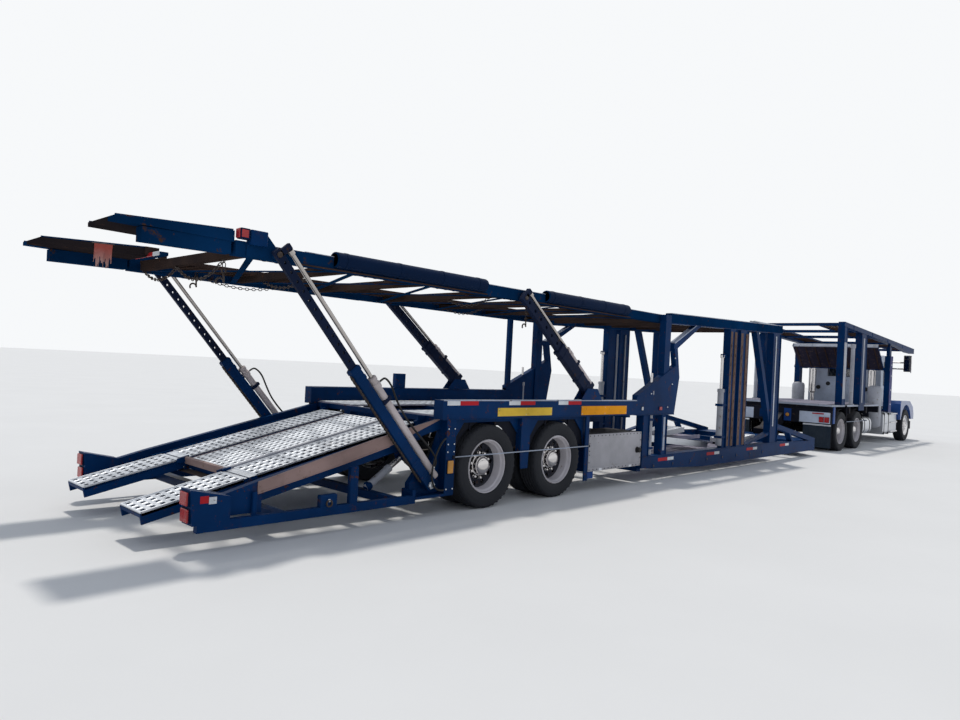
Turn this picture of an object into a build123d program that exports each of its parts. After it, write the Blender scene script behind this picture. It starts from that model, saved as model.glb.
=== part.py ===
from build123d import *
import os
from math import hypot

# A stinger-steered car transporter: a day-cab tractor with a head rack over its cab, hinged low
# behind its drive axles to a two-axle, two-deck car trailer. Millimetres throughout.
# Names ending in _x are stations measured forward from the trailer's rear axle, names ending in _z
# are heights above the ground, and names ending in _y are distances out from the centre line.
# The last step moves the vehicle so that its origin is under the middle of its length.

# Overall
tail_tip_x = -3980.0          # rear edge of the flippers
front_tip_x = 19120.0         # front edge of the head rack
outer_y = 1290.0              # side of the frames and outer face of the tyres
seat_gap = 0.3                # left between pieces of different bodies that bear on each other
run_gap = 6.0                 # left round what moves

# Wheels and axles
tyre_radius = 465.0
tyre_width = 255.0
twin_gap = 35.0
rim_radius = 299.7
bead_radius = rim_radius + seat_gap
dish_radius = 282.0
dish_depth = 165.0
hub_radius = 108.0
hub_depth = 74.0
bead_inset = 24.0
wall_radius = 430.0
shoulder = 22.0
wheel_sides = 16
trailer_spread = 1270.0
drive_x = 12390.0
drive_spread = 1260.0
steer_x = 18490.0
axle_radius = 62.0
twin_width = 2 * tyre_width + twin_gap

# Trailer: rear frame over the wheels
side_beam_y = 1190.0          # inner face of the side beams
side_beam_rear_x = -740.0
side_beam_front_x = 3070.0
side_beam_low_z = 1000.0
side_beam_top_z = 1200.0
bearer_low_z = 950.0
bearer_top_z = 1010.0
plate_thick = 10.0
inner_rail_y = (440.0, 560.0)
inner_rail_z = (830.0, bearer_low_z + 20.0)
corner_rear_x = -1060.0
corner_front_x = -540.0
corner_low_z = 200.0
box_x = (1960.0, 3250.0)      # rear and front wall of the toolbox

# Trailer: low side rails and nose
rail_y = 1180.0               # inner face of the low side rails
rail_low_z = 120.0
rail_top_z = 380.0
rail_rear_x = 3280.0
nose_shoulder_x = 10560.0
nose_tip_x = 11080.0
nose_top_z = 330.0
kingpin_x = 10900.0
kingpin_radius = 45.0
cross_z = (150.0, 270.0)

# Trailer: upper deck
deck_hinge_x = 3930.0
deck_hinge_z = 2450.0
deck_low_z = 2375.0
deck_top_z = 2495.0
deck_outer_y = 1180.0         # outer face of the tail deck's beams
deck_beam_wide = 105.0
guard_y = 1185.0
guard_radius = 72.0
guard_z = 2470.0
runway_y = (560.0, 1035.0)
upper_front_x = 8420.0
upper_rise = 150.0            # rise of the fixed upper deck from its rear to its front end
post_y = (1186.0, outer_y)

# Trailer: tail arms, middle cylinders and ramp
arm_foot = (-850.0, 330.0)
arm_head = (-2700.0, 2420.0)
arm_y = (1214.0, 1284.0)
arm_deep = 108.0
arm_wall = 8.0
arm_outer_long = 1560.0
barrel_offset = 112.0
barrel_radius = 40.0
barrel_long = 1350.0
rod_radius = 20.0
mid_foot = (1950.0, 1300.0)
mid_head = (550.0, 2400.0)
mid_arm_y = (1188.0, 1276.0)
mid_arm_deep = 150.0
mid_tube_long = 900.0
mid_offset = 104.0
ramp_hinge = (-720.0, 930.0)
ramp_slope = 13.0
ramp_fold_s = 1990.0          # from the ramp's hinge to the fold of its tips
ramp_long = 2925.0
track_y = (450.0, 870.0)
track_thick = 30.0
ramp_lug_y = track_y[1] + 30.0
ramp_side_y = (1070.0, 1110.0)
ramp_lift_foot = (-1280.0, 286.0)
ramp_lift_head = (-850.0, 560.0)
ramp_lift_y = 800.0

# Tractor
rails_y = (380.0, 460.0)
rails_z = (640.0, 880.0)
frame_rear_x = 11740.0
frame_front_x = steer_x + 810.0
deck_plate_z = (1050.0, 1090.0)
deck_front_x = 15600.0
cab_rear_x = 16800.0
cab_front_x = steer_x - 490.0
cab_half = 985.0
cab_wall = 50.0
cab_floor_z = 1020.0
cab_roof_z = 2480.0
screen_half = cab_half - 125.0
screen_low = (cab_front_x - 25.0, 1630.0)
screen_high = (cab_front_x - 280.0, cab_roof_z - 110.0)
door_x = (17000.0, 17800.0)
door_z = (1060.0, 2360.0)
hood_front_x = frame_front_x + 100.0
bumper_x = hood_front_x + 80.0
hood_half = 600.0
wing_rear_x = steer_x - 664.0
hood_low_z = 640.0
hood_pivot = (hood_front_x - 10.0, 600.0)
rack_rear_x = 12290.0
rack_rear_z = 3080.0          # top of the head rack's beams at their rear end
rack_front_z = 2790.0
rack_beam_deep = 110.0
rack_beam_y = (1150.0, outer_y)


def block(x, y, z):
    """A box from (low, high) pairs."""
    size = [pair[1] - pair[0] for pair in (x, y, z)]
    middle = [(pair[0] + pair[1]) / 2 for pair in (x, y, z)]
    return Pos(*middle) * Box(*size)


def plate(outline, y):
    """A flat piece with an outline of (x, z) points, from y[0] to y[1]."""
    face = Plane.XZ * make_face(Polyline(*outline, close=True))
    return Pos(0, y[1], 0) * extrude(face, y[1] - y[0])


def slab(outline, z):
    """A flat piece with an outline of (x, y) points, from z[0] to z[1]."""
    return Pos(0, 0, z[0]) * extrude(make_face(Polyline(*outline, close=True)), z[1] - z[0])


def aim(p, q, y):
    """A plane at p that looks towards q, both (x, z), with its Y axis across the vehicle."""
    dx, dz = q[0] - p[0], q[1] - p[1]
    return Plane(origin=(p[0], y, p[1]), x_dir=(dz, 0, -dx), z_dir=(dx, 0, dz))


def reach(p, q):
    return hypot(q[0] - p[0], q[1] - p[1])


def prism(radius, long, sides=12):
    """A round bar of few faces along Z, from z = 0, with its corners on the radius."""
    return extrude(RegularPolygon(radius, sides), long)


def girder(p, q, deep, y):
    """A straight bar between two (x, z) points, from y[0] to y[1]."""
    stock = Box(deep, y[1] - y[0], reach(p, q), align=(Align.CENTER, Align.CENTER, Align.MIN))
    return aim(p, q, (y[0] + y[1]) / 2) * stock


def round_bar(p, q, radius, y):
    return aim(p, q, y) * prism(radius, reach(p, q), 16)


def cross_pin(x, z, radius, y, sides=12):
    """A round bar across the vehicle."""
    return Pos(x, y[1], z) * Rot(90, 0, 0) * prism(radius, y[1] - y[0], sides)


def other_side(shape):
    return mirror(shape, about=Plane.XZ)


def both(shape):
    return shape + other_side(shape)


# Wheels, drawn with their outer face at y = 0 and reaching inwards along +Y

def disc(radius, start, stop):
    """A wheel's round part between two depths from its outer face."""
    return cross_pin(0, 0, radius, (start, stop), wheel_sides)


def tyre(start):
    body = disc(tyre_radius, start + shoulder, start + tyre_width - shoulder)
    body += disc(wall_radius, start, start + tyre_width)
    return body - disc(bead_radius, start - 1, start + tyre_width + 1)


def twin_tyres():
    return tyre(0) + tyre(tyre_width + twin_gap)


def twin_rims():
    rim = disc(rim_radius, bead_inset, twin_width - bead_inset) - disc(dish_radius, bead_inset - 1, dish_depth)
    return rim + disc(hub_radius, hub_depth, dish_depth + 1)


def steer_rim():
    rim = disc(rim_radius, bead_inset, tyre_width - bead_inset) - disc(dish_radius, bead_inset - 1, 80)
    return rim + disc(hub_radius, 14, 81)


def on_axle(shape, x, side):
    placed = Pos(x, -outer_y, tyre_radius) * shape
    return placed if side == "right" else other_side(placed)


# Trailer

def lower_frame():
    rail = plate([
        (rail_rear_x, rail_low_z + 90), (rail_rear_x, rail_top_z), (8350, rail_top_z),
        (nose_shoulder_x, nose_top_z), (nose_shoulder_x, rail_low_z), (5200, rail_low_z)],
        (rail_y, outer_y))
    top_strut = plate([
        (8340, 655), (8340, 745), (nose_shoulder_x, nose_top_z + 50), (nose_shoulder_x, nose_top_z),
        (10250, nose_top_z)], (rail_y, outer_y))
    small_brace = girder((9250, rail_top_z - 40), (9050, 560), 60, (rail_y, outer_y))
    frame = both(rail + top_strut + small_brace)
    for x in (3340, 4500, 5700, 6900, 8100, 9300):
        frame += block((x, x + 100), (-rail_y, rail_y), cross_z)
    nose = slab([
        (9900, -rail_y), (nose_shoulder_x, -rail_y), (nose_tip_x, -420), (nose_tip_x, 420),
        (nose_shoulder_x, rail_y), (9900, rail_y)], (cross_z[0], nose_top_z))
    for y in (-230, 230):
        frame += block((9300, 9950), (y - 60, y + 60), cross_z)
    pin = Pos(kingpin_x, 0, nose_top_z - 1) * prism(kingpin_radius, 150, 16)
    return frame + nose + pin


def lower_runways():
    """Tracks on the low frame and the flat plates over the wheels."""
    track = block((3440, 8600), (430, 1060), (cross_z[1], cross_z[1] + 40))
    for y in ((430, 450), (1040, 1060)):
        track += block((3440, 8600), y, (cross_z[1] + 40, cross_z[1] + 75))
    over = block((-640, side_beam_front_x), (430, 1140), (bearer_top_z, bearer_top_z + plate_thick))
    return both(track) + both(over)


def rear_frame():
    beam = block((side_beam_rear_x, side_beam_front_x), (side_beam_y, outer_y), (side_beam_low_z, side_beam_top_z))
    cheek = block((1880, 2020), (mid_arm_y[1] + seat_gap, outer_y), (side_beam_top_z, mid_foot[1] + 50))
    hanger = block((540, 700), (side_beam_y + 20, outer_y), (600, side_beam_low_z))
    corner = block((corner_front_x - 120, corner_front_x), (1150, outer_y), (corner_low_z, side_beam_top_z))
    foot = plate([
        (corner_rear_x, corner_low_z), (corner_rear_x, corner_low_z + 150), (-960, 470), (-760, 560),
        (corner_front_x - 100, 900), (corner_front_x - 100, corner_low_z)], (1120, 1186))
    sole = block((corner_rear_x, corner_front_x - 100), (1120, outer_y), (corner_low_z, corner_low_z + 25))
    arm_pin = cross_pin(*arm_foot, 35, (1186, arm_y[0] - seat_gap))
    ramp_lug = block((ramp_hinge[0] - 30, side_beam_rear_x + 100), (ramp_lug_y, ramp_lug_y + 20), (ramp_hinge[1] - 30, bearer_top_z))
    link = block((side_beam_rear_x, corner_front_x), (1150, outer_y), (side_beam_low_z, side_beam_top_z))
    inner = block((-640, 3340), inner_rail_y, inner_rail_z)
    drop = block((3240, 3340), inner_rail_y, (cross_z[1], inner_rail_z[0]))
    side = beam + cheek + corner + foot + sole + arm_pin
    side += ramp_lug + link + hanger + inner + drop
    frame = both(side)
    for x in (-640, 585, 1900, 2970):
        frame += block((x, x + 100), (-side_beam_y, side_beam_y), (bearer_low_z, bearer_top_z))
    return frame


def deck_posts():
    """Posts under the hinge of the tail deck, with the gusset and the brace in front of each side beam."""
    gusset = plate([
        (side_beam_front_x, side_beam_low_z - 10), (side_beam_front_x, side_beam_top_z + 60), (4160, 1730),
        (4080, 2080), (4180, 2080), (4290, 1560), (4170, side_beam_low_z - 10)], (side_beam_y + 20, outer_y))
    brace = plate([
        (4080, 2000), (4080, 2080), (4760, upper_z(4760)), (4960, upper_z(4960)), (4180, 2000)],
        (side_beam_y + 20, outer_y))
    post = block((box_x[1] + 10, 3440), (side_beam_y, outer_y), (rail_top_z, side_beam_low_z))
    deck_post = block((3800, 3960), post_y, (rail_top_z, deck_top_z))
    return both(gusset + brace + post + deck_post)


def tail_rails():
    """Low rails behind the wheels with the lamp housings at their ends."""
    rail = block((-3300, corner_rear_x), (1230, outer_y), (165, 245))
    lamp = plate([(-3340, 225), (-3360, 505), (-3030, 430), (-3030, 245), (-3200, 225)], (1110, outer_y))
    stub = block((corner_rear_x - 40, corner_rear_x), (1120, outer_y), (165, 300))
    slope = plate([
        (-3040, 250), (-3040, 430), (-2760, 505), (corner_front_x - 120, 1000), (corner_front_x - 120, 890),
        (-2700, 400), (-2700, 250)], (1120, 1186))
    side = both(rail + lamp + stub + slope)
    return side + block((-2600, -2500), (-1240, 1240), (165, 245)) + block((-1320, -1240), (-1240, 1240), (165, 245))


def side_frames():
    """Posts and braces between the low rails and the fixed upper deck."""
    frame = None
    #   rear station, front station
    for rear, front in ((6030, 6310), (6450, 6800), (7960, 8340)):
        post = plate([(rear, rail_top_z), (rear, upper_z(rear)), (front, upper_z(front)), (front, rail_top_z)], post_y)
        frame = post if frame is None else frame + post
    frame += plate([(7150, upper_z(7150)), (7270, upper_z(7270)), (8130, 640), (8010, 600)], post_y)
    frame += plate([(6740, rail_top_z), (6860, rail_top_z), (8000, 540), (8000, 600)], post_y)
    frame += block((5920, 6030), (post_y[0] + 10, post_y[1] - 10), (rail_top_z, 1400))
    return both(frame)


def upper_z(x):
    """Underside of the fixed upper deck's beams."""
    return deck_low_z + upper_rise * (x - deck_hinge_x) / (upper_front_x - deck_hinge_x)


def upper_deck():
    rear = 3960
    beam = plate([
        (rear, upper_z(rear)), (rear, upper_z(rear) + 150), (upper_front_x, upper_z(upper_front_x) + 150),
        (upper_front_x, upper_z(upper_front_x))], (post_y[0], outer_y))
    deck = both(beam)
    for x in (4080, 5000, 5900, 6800, 7600, 8320):
        deck += block((x, x + 90), (-post_y[0], post_y[0]), (upper_z(x) + 20, upper_z(x) + 100))
    run = plate([
        (4080, upper_z(4080) + 95), (4080, upper_z(4080) + 115), (8410, upper_z(8410) + 115),
        (8410, upper_z(8410) + 95)], runway_y)
    return deck + both(run)


def trailer_axles():
    inside = outer_y - twin_width + bead_inset - seat_gap
    unit = None
    for x in (0, trailer_spread):
        axle = cross_pin(x, tyre_radius, axle_radius, (-inside, inside))
        unit = axle if unit is None else unit + axle
    spring = None
    for x in (-600, trailer_spread / 2, trailer_spread + 600):
        hanger = block((x - 45, x + 45), (460, 540), (520, inner_rail_z[0]))
        spring = hanger if spring is None else spring + hanger
    spring += block((-600, trailer_spread + 600), (465, 535), (520, 570))
    return unit + both(spring)


def toolbox():
    inside = (box_x[0] + 25, box_x[1] - 25)
    shell = block(box_x, (700, 1262), (265, 750)) - block(inside, (720, 1300), (290, 725))
    hanger = block((inside[1], box_x[1] + 10), (side_beam_y, 1262), (rail_top_z, 700))
    return other_side(shell + hanger)


def toolbox_door():
    return other_side(block((box_x[0] - 30, box_x[1] - 4), (1262 + seat_gap, 1282), (262, 752)))


# Tail deck and what lifts it

def tail_deck():
    low, high = deck_outer_y - deck_beam_wide, deck_outer_y
    beam = block((-3050, deck_hinge_x - run_gap), (low, high), (deck_low_z, deck_top_z))
    for rear, front in ((-2100, -100), (1000, 2850)):
        beam += round_bar((rear, guard_z), (front, guard_z), guard_radius, guard_y)
    head = plate([
        (-2960, deck_low_z), (-2960, 2590), (-2790, 2590), (-2700, deck_top_z), (-2500, deck_low_z)],
        (high, high + 10))
    hinge = cross_pin(deck_hinge_x - 40, deck_hinge_z, 38, (high, post_y[0] - seat_gap))
    arm_boss = cross_pin(*arm_head, 38, (high, arm_y[0] + arm_wall + run_gap - seat_gap))
    mid_boss = cross_pin(*mid_head, 36, (high, mid_arm_y[0] + arm_wall + run_gap - seat_gap))
    flap_lug = block((-3080, -2950), (590, 610), (2500, 2580)) + block((-2950, -2870), (590, 610), (2460, 2530))
    run = block((-2960, deck_hinge_x - 60), runway_y, (deck_low_z + 85, deck_low_z + 105))
    side = beam + head + hinge + arm_boss + mid_boss + flap_lug + run
    deck = both(side)
    for x in (-2950, -1900, -900, 250, 1300, 2300, 3300):
        deck += block((x, x + 80), (-low, low), (deck_low_z + 10, deck_low_z + 90))
    return deck


def flipper():
    """Right rear flap of the tail deck, hinged at its front edge."""
    top = plate([
        (-3060, 2480), (-3060, 2570), (tail_tip_x, 2525), (tail_tip_x, 2490)], (-1170, -620))
    under = girder((-3080, 2435), (-3780, 2425), 110, (-1160, -1050))
    lug = block((-3080, -3050), (-625, -610 - seat_gap), (2500, 2580))
    return top + under + lug


def standing(width, depth, start, stop):
    """A bar along the local Z axis, depth along local X and width along local Y."""
    return Pos(0, 0, start) * Box(depth, width, stop - start, align=(Align.CENTER, Align.CENTER, Align.MIN))


def arm_tubes(foot, head, y, deep, start, stop, offset, barrel_radius, barrel_long):
    """Lower arms, each with the barrel of its lift cylinder along its front side."""
    wide = y[1] - y[0]
    tube = standing(wide, deep, start, stop)
    tube -= standing(wide - 2 * arm_wall, deep - 2 * arm_wall, 120, stop + 1)
    foot_block = Pos((deep / 2 + offset) / 2, 0, 40) * Box(offset - deep / 2 + 60, wide - 2 * arm_wall, 80)
    barrel = Pos(offset, 0, 0) * (prism(barrel_radius, barrel_long) - Pos(0, 0, 120) * prism(rod_radius + 4, barrel_long))
    return both(aim(foot, head, -(y[0] + y[1]) / 2) * (tube + foot_block + barrel))


def arm_inners(foot, head, y, deep, start, offset):
    """Upper arms, each with the rod of its lift cylinder."""
    wide = y[1] - y[0] - 2 * (arm_wall + run_gap)
    long = reach(foot, head)
    tube = standing(wide, deep - 2 * (arm_wall + run_gap), start, long + 50)
    lug = Pos(offset / 2, 0, long - 30) * Box(offset + 60, wide, 60)
    rod = Pos(offset, 0, start - 20) * prism(rod_radius, long - 30 - start)
    return both(aim(foot, head, -(y[0] + y[1]) / 2) * (tube + lug + rod))


def tail_arm_tubes():
    return arm_tubes(
        arm_foot, arm_head, arm_y, arm_deep, -40, arm_outer_long, barrel_offset, barrel_radius, barrel_long)


def tail_arm_inners():
    return arm_inners(arm_foot, arm_head, arm_y, arm_deep, 1200, barrel_offset)


def mid_arm_tubes():
    return arm_tubes(mid_foot, mid_head, mid_arm_y, mid_arm_deep, -50, mid_tube_long, mid_offset, 28, 760)


def mid_arm_inners():
    return arm_inners(mid_foot, mid_head, mid_arm_y, mid_arm_deep, 660, mid_offset)


# Ramp, drawn flat behind its hinge and then tilted down

def ramp_place():
    return Pos(ramp_hinge[0], 0, ramp_hinge[1]) * Rot(0, -ramp_slope, 0)


def ramp_deck():
    track = block((-ramp_fold_s + run_gap, -15), track_y, (-track_thick, 0))
    rails = block((-ramp_fold_s + run_gap, -40), (track_y[0], track_y[0] + 20), (-110, -track_thick))
    rails += block((-ramp_fold_s + run_gap, -40), (track_y[1] - 20, track_y[1]), (-110, -track_thick))
    hinge_lug = block((-40, 25), (track_y[1] - 10, ramp_lug_y - seat_gap), (-28, 28))
    tip_lug = block((-ramp_fold_s - 25, -ramp_fold_s + 60), (track_y[0] - 20, track_y[0] - seat_gap), (-60, 30))
    tip_lug += block((-ramp_fold_s + 10, -ramp_fold_s + 60), (track_y[0] - 20, track_y[0] + 5), (-60, -5))
    skirt = block((-ramp_fold_s - 60, -420), ramp_side_y, (-150, -20))
    lift_lug = plate([(-300, -60), (-100, -60), (-180, -365), (-240, -365)], (ramp_lift_y - 65, ramp_lift_y - 45))
    deck = both(track + rails + hinge_lug + tip_lug + skirt + lift_lug)
    deck += block((-ramp_fold_s + 30, -60), (-track_y[0], track_y[0]), (-track_thick, -18))
    for s in (150, 900, ramp_fold_s - 130):
        deck += block((-s - 80, -s), (-ramp_side_y[1], ramp_side_y[1]), (-110, -track_thick))
    return ramp_place() * deck


def ramp_tips():
    """Rear ends of the two tracks, which fold up about the top of the fold line."""
    rear, front = -ramp_long, -ramp_fold_s - run_gap
    track = block((rear, front), track_y, (-track_thick, 0))
    track += block((rear, front), (track_y[0], track_y[0] + 20), (-90, -track_thick))
    track += block((rear, front), (track_y[1] - 20, track_y[1]), (-90, -track_thick))
    lug = block((front - 60, front + 25), (track_y[0] - 40, track_y[0] - 20 - seat_gap), (-20, 30))
    lug += block((front - 60, front - 25), (track_y[0] - 40, track_y[0] + 5), (-20, 0))
    return ramp_place() * both(track + lug)


def ramp_lift_barrels():
    plane = aim(ramp_lift_foot, ramp_lift_head, ramp_lift_y)
    tube = prism(34, 330) - Pos(0, 0, 60) * prism(22, 330)
    return both(plane * tube + cross_pin(*ramp_lift_foot, 40.7, (ramp_lift_y - 40, ramp_lift_y + 40)))


def ramp_lift_rods():
    plane = aim(ramp_lift_foot, ramp_lift_head, ramp_lift_y)
    rod = Pos(0, 0, 120) * prism(18, reach(ramp_lift_foot, ramp_lift_head) - 120)
    eye = cross_pin(*ramp_lift_head, 30, (ramp_lift_y - 45 + seat_gap, ramp_lift_y + 30))
    return both(plane * rod + eye)


# Tractor

def tractor_frame():
    rail = block((frame_rear_x, frame_front_x), rails_y, rails_z)
    frame = both(rail)
    for x in (frame_rear_x, 13000, 14400, 15600, 16900, 17700, frame_front_x - 80):
        frame += block((x, x + 80), (-rails_y[0], rails_y[0]), (rails_z[0] + 40, rails_z[1] - 40))
    frame += block((frame_front_x - 80, frame_front_x), (-rails_y[1], rails_y[1]), (400, rails_z[0] + 60))
    frame += block((frame_front_x, frame_front_x + 120), (-rails_y[1], rails_y[1]), (400, 540))
    frame += block((hood_front_x + run_gap, bumper_x), (-1200, 1200), (330, 560))
    frame += both(block((frame_front_x, hood_front_x), (350, 380), (500, 620)))
    for x in (16850, 17650):
        frame += both(block((x, x + 90), rails_y, (rails_z[1], cab_floor_z)))
    low = nose_top_z + seat_gap
    neck = plate([
        (kingpin_x - 140, low), (kingpin_x - 140, low + 130), (kingpin_x + 260, low + 190), (frame_rear_x + 40, 880),
        (12100, 880), (12100, 640), (frame_rear_x + 60, 600), (kingpin_x + 360, low)], (-160, 160))
    neck -= Pos(kingpin_x, 0, low - 1) * prism(kingpin_radius + 2, 152, 16)
    frame += neck
    frame += block((11700, 11760), (-1270, 1270), (640, 960))
    frame += both(block((11700, 11720), (640, 1270), (90, 640)))
    frame += block((frame_rear_x - 40, deck_front_x), (-1270, 1270), deck_plate_z)
    for x in (frame_rear_x, 13000, 14400, deck_front_x - 100):
        frame += block((x, x + 80), (-1270, 1270), (rails_z[1], deck_plate_z[0]))
    return frame


def tractor_axles():
    inside = outer_y - twin_width + bead_inset - seat_gap
    unit = None
    for x in (drive_x, drive_x + drive_spread):
        axle = cross_pin(x, tyre_radius, axle_radius, (-inside, inside))
        axle += cross_pin(x, tyre_radius, 190, (-170, 170))
        for y in (-420, 420):
            axle += block((x - 50, x + 50), (y - 40, y + 40), (tyre_radius, rails_z[0]))
        unit = axle if unit is None else unit + axle
    beam = block((steer_x - 55, steer_x + 55), (-940, 940), (420, 510))
    beam += both(Pos(steer_x, 940, 410 + seat_gap) * prism(60, 110 - 2 * seat_gap))
    beam += both(block((steer_x - 60, steer_x + 60), (rails_y[0], rails_y[1]), (510, rails_z[0])))
    return unit + beam


def knuckle():
    kingpin_y = 940.0
    back = outer_y - tyre_width + bead_inset - seat_gap
    lugs = Pos(steer_x, kingpin_y, 520) * prism(60, 30) + Pos(steer_x, kingpin_y, 380) * prism(60, 30)
    body = block((steer_x - 60, steer_x + 60), (1006, 1032), (380, 550))
    ears = block((steer_x - 60, steer_x + 60), (kingpin_y, 1010), (520, 550))
    ears += block((steer_x - 60, steer_x + 60), (kingpin_y, 1010), (380, 410))
    drum = cross_pin(steer_x, tyre_radius, 150, (1030, back))
    return lugs + body + ears + drum


def engine():
    block_y = rails_y[0] - 50
    unit = block((cab_front_x + 60, frame_front_x - 180), (-block_y, block_y), (720, 1330))
    return unit + both(block((cab_front_x + 250, cab_front_x + 350), (block_y, rails_y[0]), (760, 860)))


def cab_outline(inset):
    return [
        (cab_rear_x + inset, cab_floor_z + inset), (cab_rear_x + inset, cab_roof_z - 80 - inset * 0.6),
        (cab_rear_x + 80 + inset * 0.6, cab_roof_z - inset), (cab_front_x - 320, cab_roof_z - inset),
        (cab_front_x - inset, 1560), (cab_front_x - inset, cab_floor_z + inset)]


def cab_shell():
    shell = plate(cab_outline(0), (-cab_half, cab_half))
    shell -= plate(cab_outline(cab_wall), (-cab_half + cab_wall, cab_half - cab_wall))
    shell -= girder(screen_low, screen_high, 300, (-screen_half, screen_half))
    shell -= block((cab_rear_x - 10, cab_rear_x + cab_wall + 10), (-420, 420), (1850, 2250))
    shell -= block(door_x, (-cab_half - 10, cab_half + 10), door_z)
    return shell


def cab_glass():
    rear = block((cab_rear_x + 20, cab_rear_x + 26), (-420 + seat_gap, 420 - seat_gap), (1850 + seat_gap, 2250 - seat_gap))
    slope = reach(screen_low, screen_high)
    front = aim(screen_low, screen_high, 0) * Pos(-12, 0, seat_gap) * Box(
        6, 2 * (screen_half - seat_gap), slope - 2 * seat_gap, align=(Align.CENTER, Align.CENTER, Align.MIN))
    return rear + front


def cab_interior():
    floor = cab_floor_z + cab_wall
    seats = None
    for y in (-480, 480):
        seat = block((16980, 17480), (y - 240, y + 240), (floor, floor + 380))
        seat += girder((17010, floor + 360), (16960, floor + 980), 110, (y - 230, y + 230))
        seats = seat if seats is None else seats + seat
    dash = plate([
        (cab_front_x - 260, floor), (cab_front_x - 260, floor + 400), (cab_front_x - 200, floor + 460),
        (cab_front_x - cab_wall - 1, floor + 460), (cab_front_x - cab_wall - 1, floor)],
        (-cab_half + cab_wall + 1, cab_half - cab_wall - 1))
    wheel = Pos(0, 0, 216) * (prism(226, 28) - Pos(0, 0, -1) * prism(196, 30))
    wheel += prism(26, 244, 8) + Pos(0, 0, 230) * Box(24, 420, 20)
    return seats + dash + aim((17760, floor + 380), (17520, floor + 560), 480) * wheel


def door():
    """Right door with its mirror."""
    gap = run_gap
    outline_x, outline_z = (door_x[0] + gap, door_x[1] - gap), (door_z[0] + gap, door_z[1] - gap)
    leaf = block(outline_x, (-cab_half, -cab_half + cab_wall), outline_z)
    leaf -= block((17090, 17700), (-cab_half - 1, -cab_half + cab_wall + 1), (1640, 2270))
    for z in (1300, 2200):
        leaf += block((17740, door_x[1]), (-cab_half - 12, -cab_half), (z - 30, z + 30))
        leaf += Pos(door_x[1], -cab_half - 8 - seat_gap, z - 40) * prism(8, 80, 8)
    arm = block((17720, 17745), (-1540, -cab_half + 5), (2120, 2145)) + block(
        (17720, 17745), (-1540, -cab_half + 5), (2300, 2325))
    mirror_box = block((17690, 17770), (-1500, -1350), (2060, 2520))
    return leaf + arm + mirror_box


def door_glass():
    return block((17090 + seat_gap, 17700 - seat_gap), (-cab_half + 22, -cab_half + 28), (1640 + seat_gap, 2270 - seat_gap))


def hood():
    rear = cab_front_x + run_gap
    top = plate([
        (rear, hood_low_z), (rear, 1550), (hood_front_x - 120, 1390), (hood_front_x, 1300),
        (hood_front_x, hood_low_z)],
        (-hood_half, hood_half))
    top -= plate([
        (rear - 10, hood_low_z - 10), (rear - 10, 1500), (hood_front_x - 160, 1345), (hood_front_x - 45, 1270),
        (hood_front_x - 45, hood_low_z - 10)], (-hood_half + 40, hood_half - 40))
    inner = plate([
        (rear, 1000), (rear, 1190), (hood_front_x - 500, 1190), (hood_front_x - 100, 1010), (hood_front_x, 800),
        (hood_front_x, hood_low_z), (hood_front_x - 400, hood_low_z)], (hood_half - 20, cab_half + run_gap))
    outer = plate([
        (wing_rear_x, hood_low_z), (wing_rear_x, 1100), (wing_rear_x + 74, 1190), (hood_front_x - 500, 1190),
        (hood_front_x - 100, 1010), (hood_front_x, 800), (hood_front_x, hood_low_z)], (cab_half + run_gap, outer_y))
    wing = inner + outer - cross_pin(steer_x, tyre_radius, 620, (hood_half, outer_y + 10), wheel_sides)
    lug = block((hood_pivot[0] - 20, hood_front_x), (380 + seat_gap, 410), (hood_pivot[1] - 20, hood_low_z + 20))
    return top + both(wing + lug)


def tanks_steps():
    side = block((14310, 15050), (rails_y[1], 1240), (320, 770))
    side += block((16300, 17720), (rails_y[1], 1240), (250, 850))
    return both(side)


def rack_top(x):
    return rack_rear_z + (rack_front_z - rack_rear_z) * (x - rack_rear_x) / (front_tip_x - rack_rear_x)


def rack_low(x):
    return rack_top(x) - rack_beam_deep


def head_posts():
    """Fixed posts of the head rack and the tilted panel behind the cab."""
    side = None
    #   rear station, front station
    for rear, front in ((rack_rear_x, 12520), (13700, 14150)):
        post = plate([
            (rear, deck_plate_z[1]), (rear, rack_low(rear) - seat_gap), (front, rack_low(front) - seat_gap),
            (front, deck_plate_z[1])], rack_beam_y)
        side = post if side is None else side + post
    outer = block((16460, 16700), rack_beam_y, (880, 2450)) - block((16480, 16680), (1168, 1272), (960, 2460))
    outer += block((16460, 16700), (rails_y[0], outer_y), (rails_z[1], 960))
    panel = girder((15770, 2690), (16425, 2080), 50, (-1140, 1140)) + block((16400, 16460), (-outer_y, outer_y), (2040, 2120))
    return both(side + outer) + panel


def head_post_inners():
    rear, front = 16490, 16670
    middle = (rear + front) / 2
    post = block((rear, front), (1178, 1262), (1500, rack_low(front) - 80))
    return both(post + block((middle - 30, middle + 30), (1190, 1250), (1500, rack_low(middle + 30) - seat_gap)))


def head_deck():
    beam = plate([
        (rack_rear_x, rack_low(rack_rear_x)), (rack_rear_x, rack_top(rack_rear_x)),
        (front_tip_x, rack_top(front_tip_x)), (front_tip_x, rack_low(front_tip_x) - 40),
        (front_tip_x - 700, rack_low(front_tip_x - 700) - 60), (17300, rack_low(17300))], rack_beam_y)
    deck = both(beam)
    for x in (12300, 13800, 15200, 16800, 17900, 18950):
        deck += block((x, x + 80), (-rack_beam_y[0], rack_beam_y[0]), (rack_top(x + 80) - 90, rack_top(x + 80) - 20))
    return deck


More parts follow.
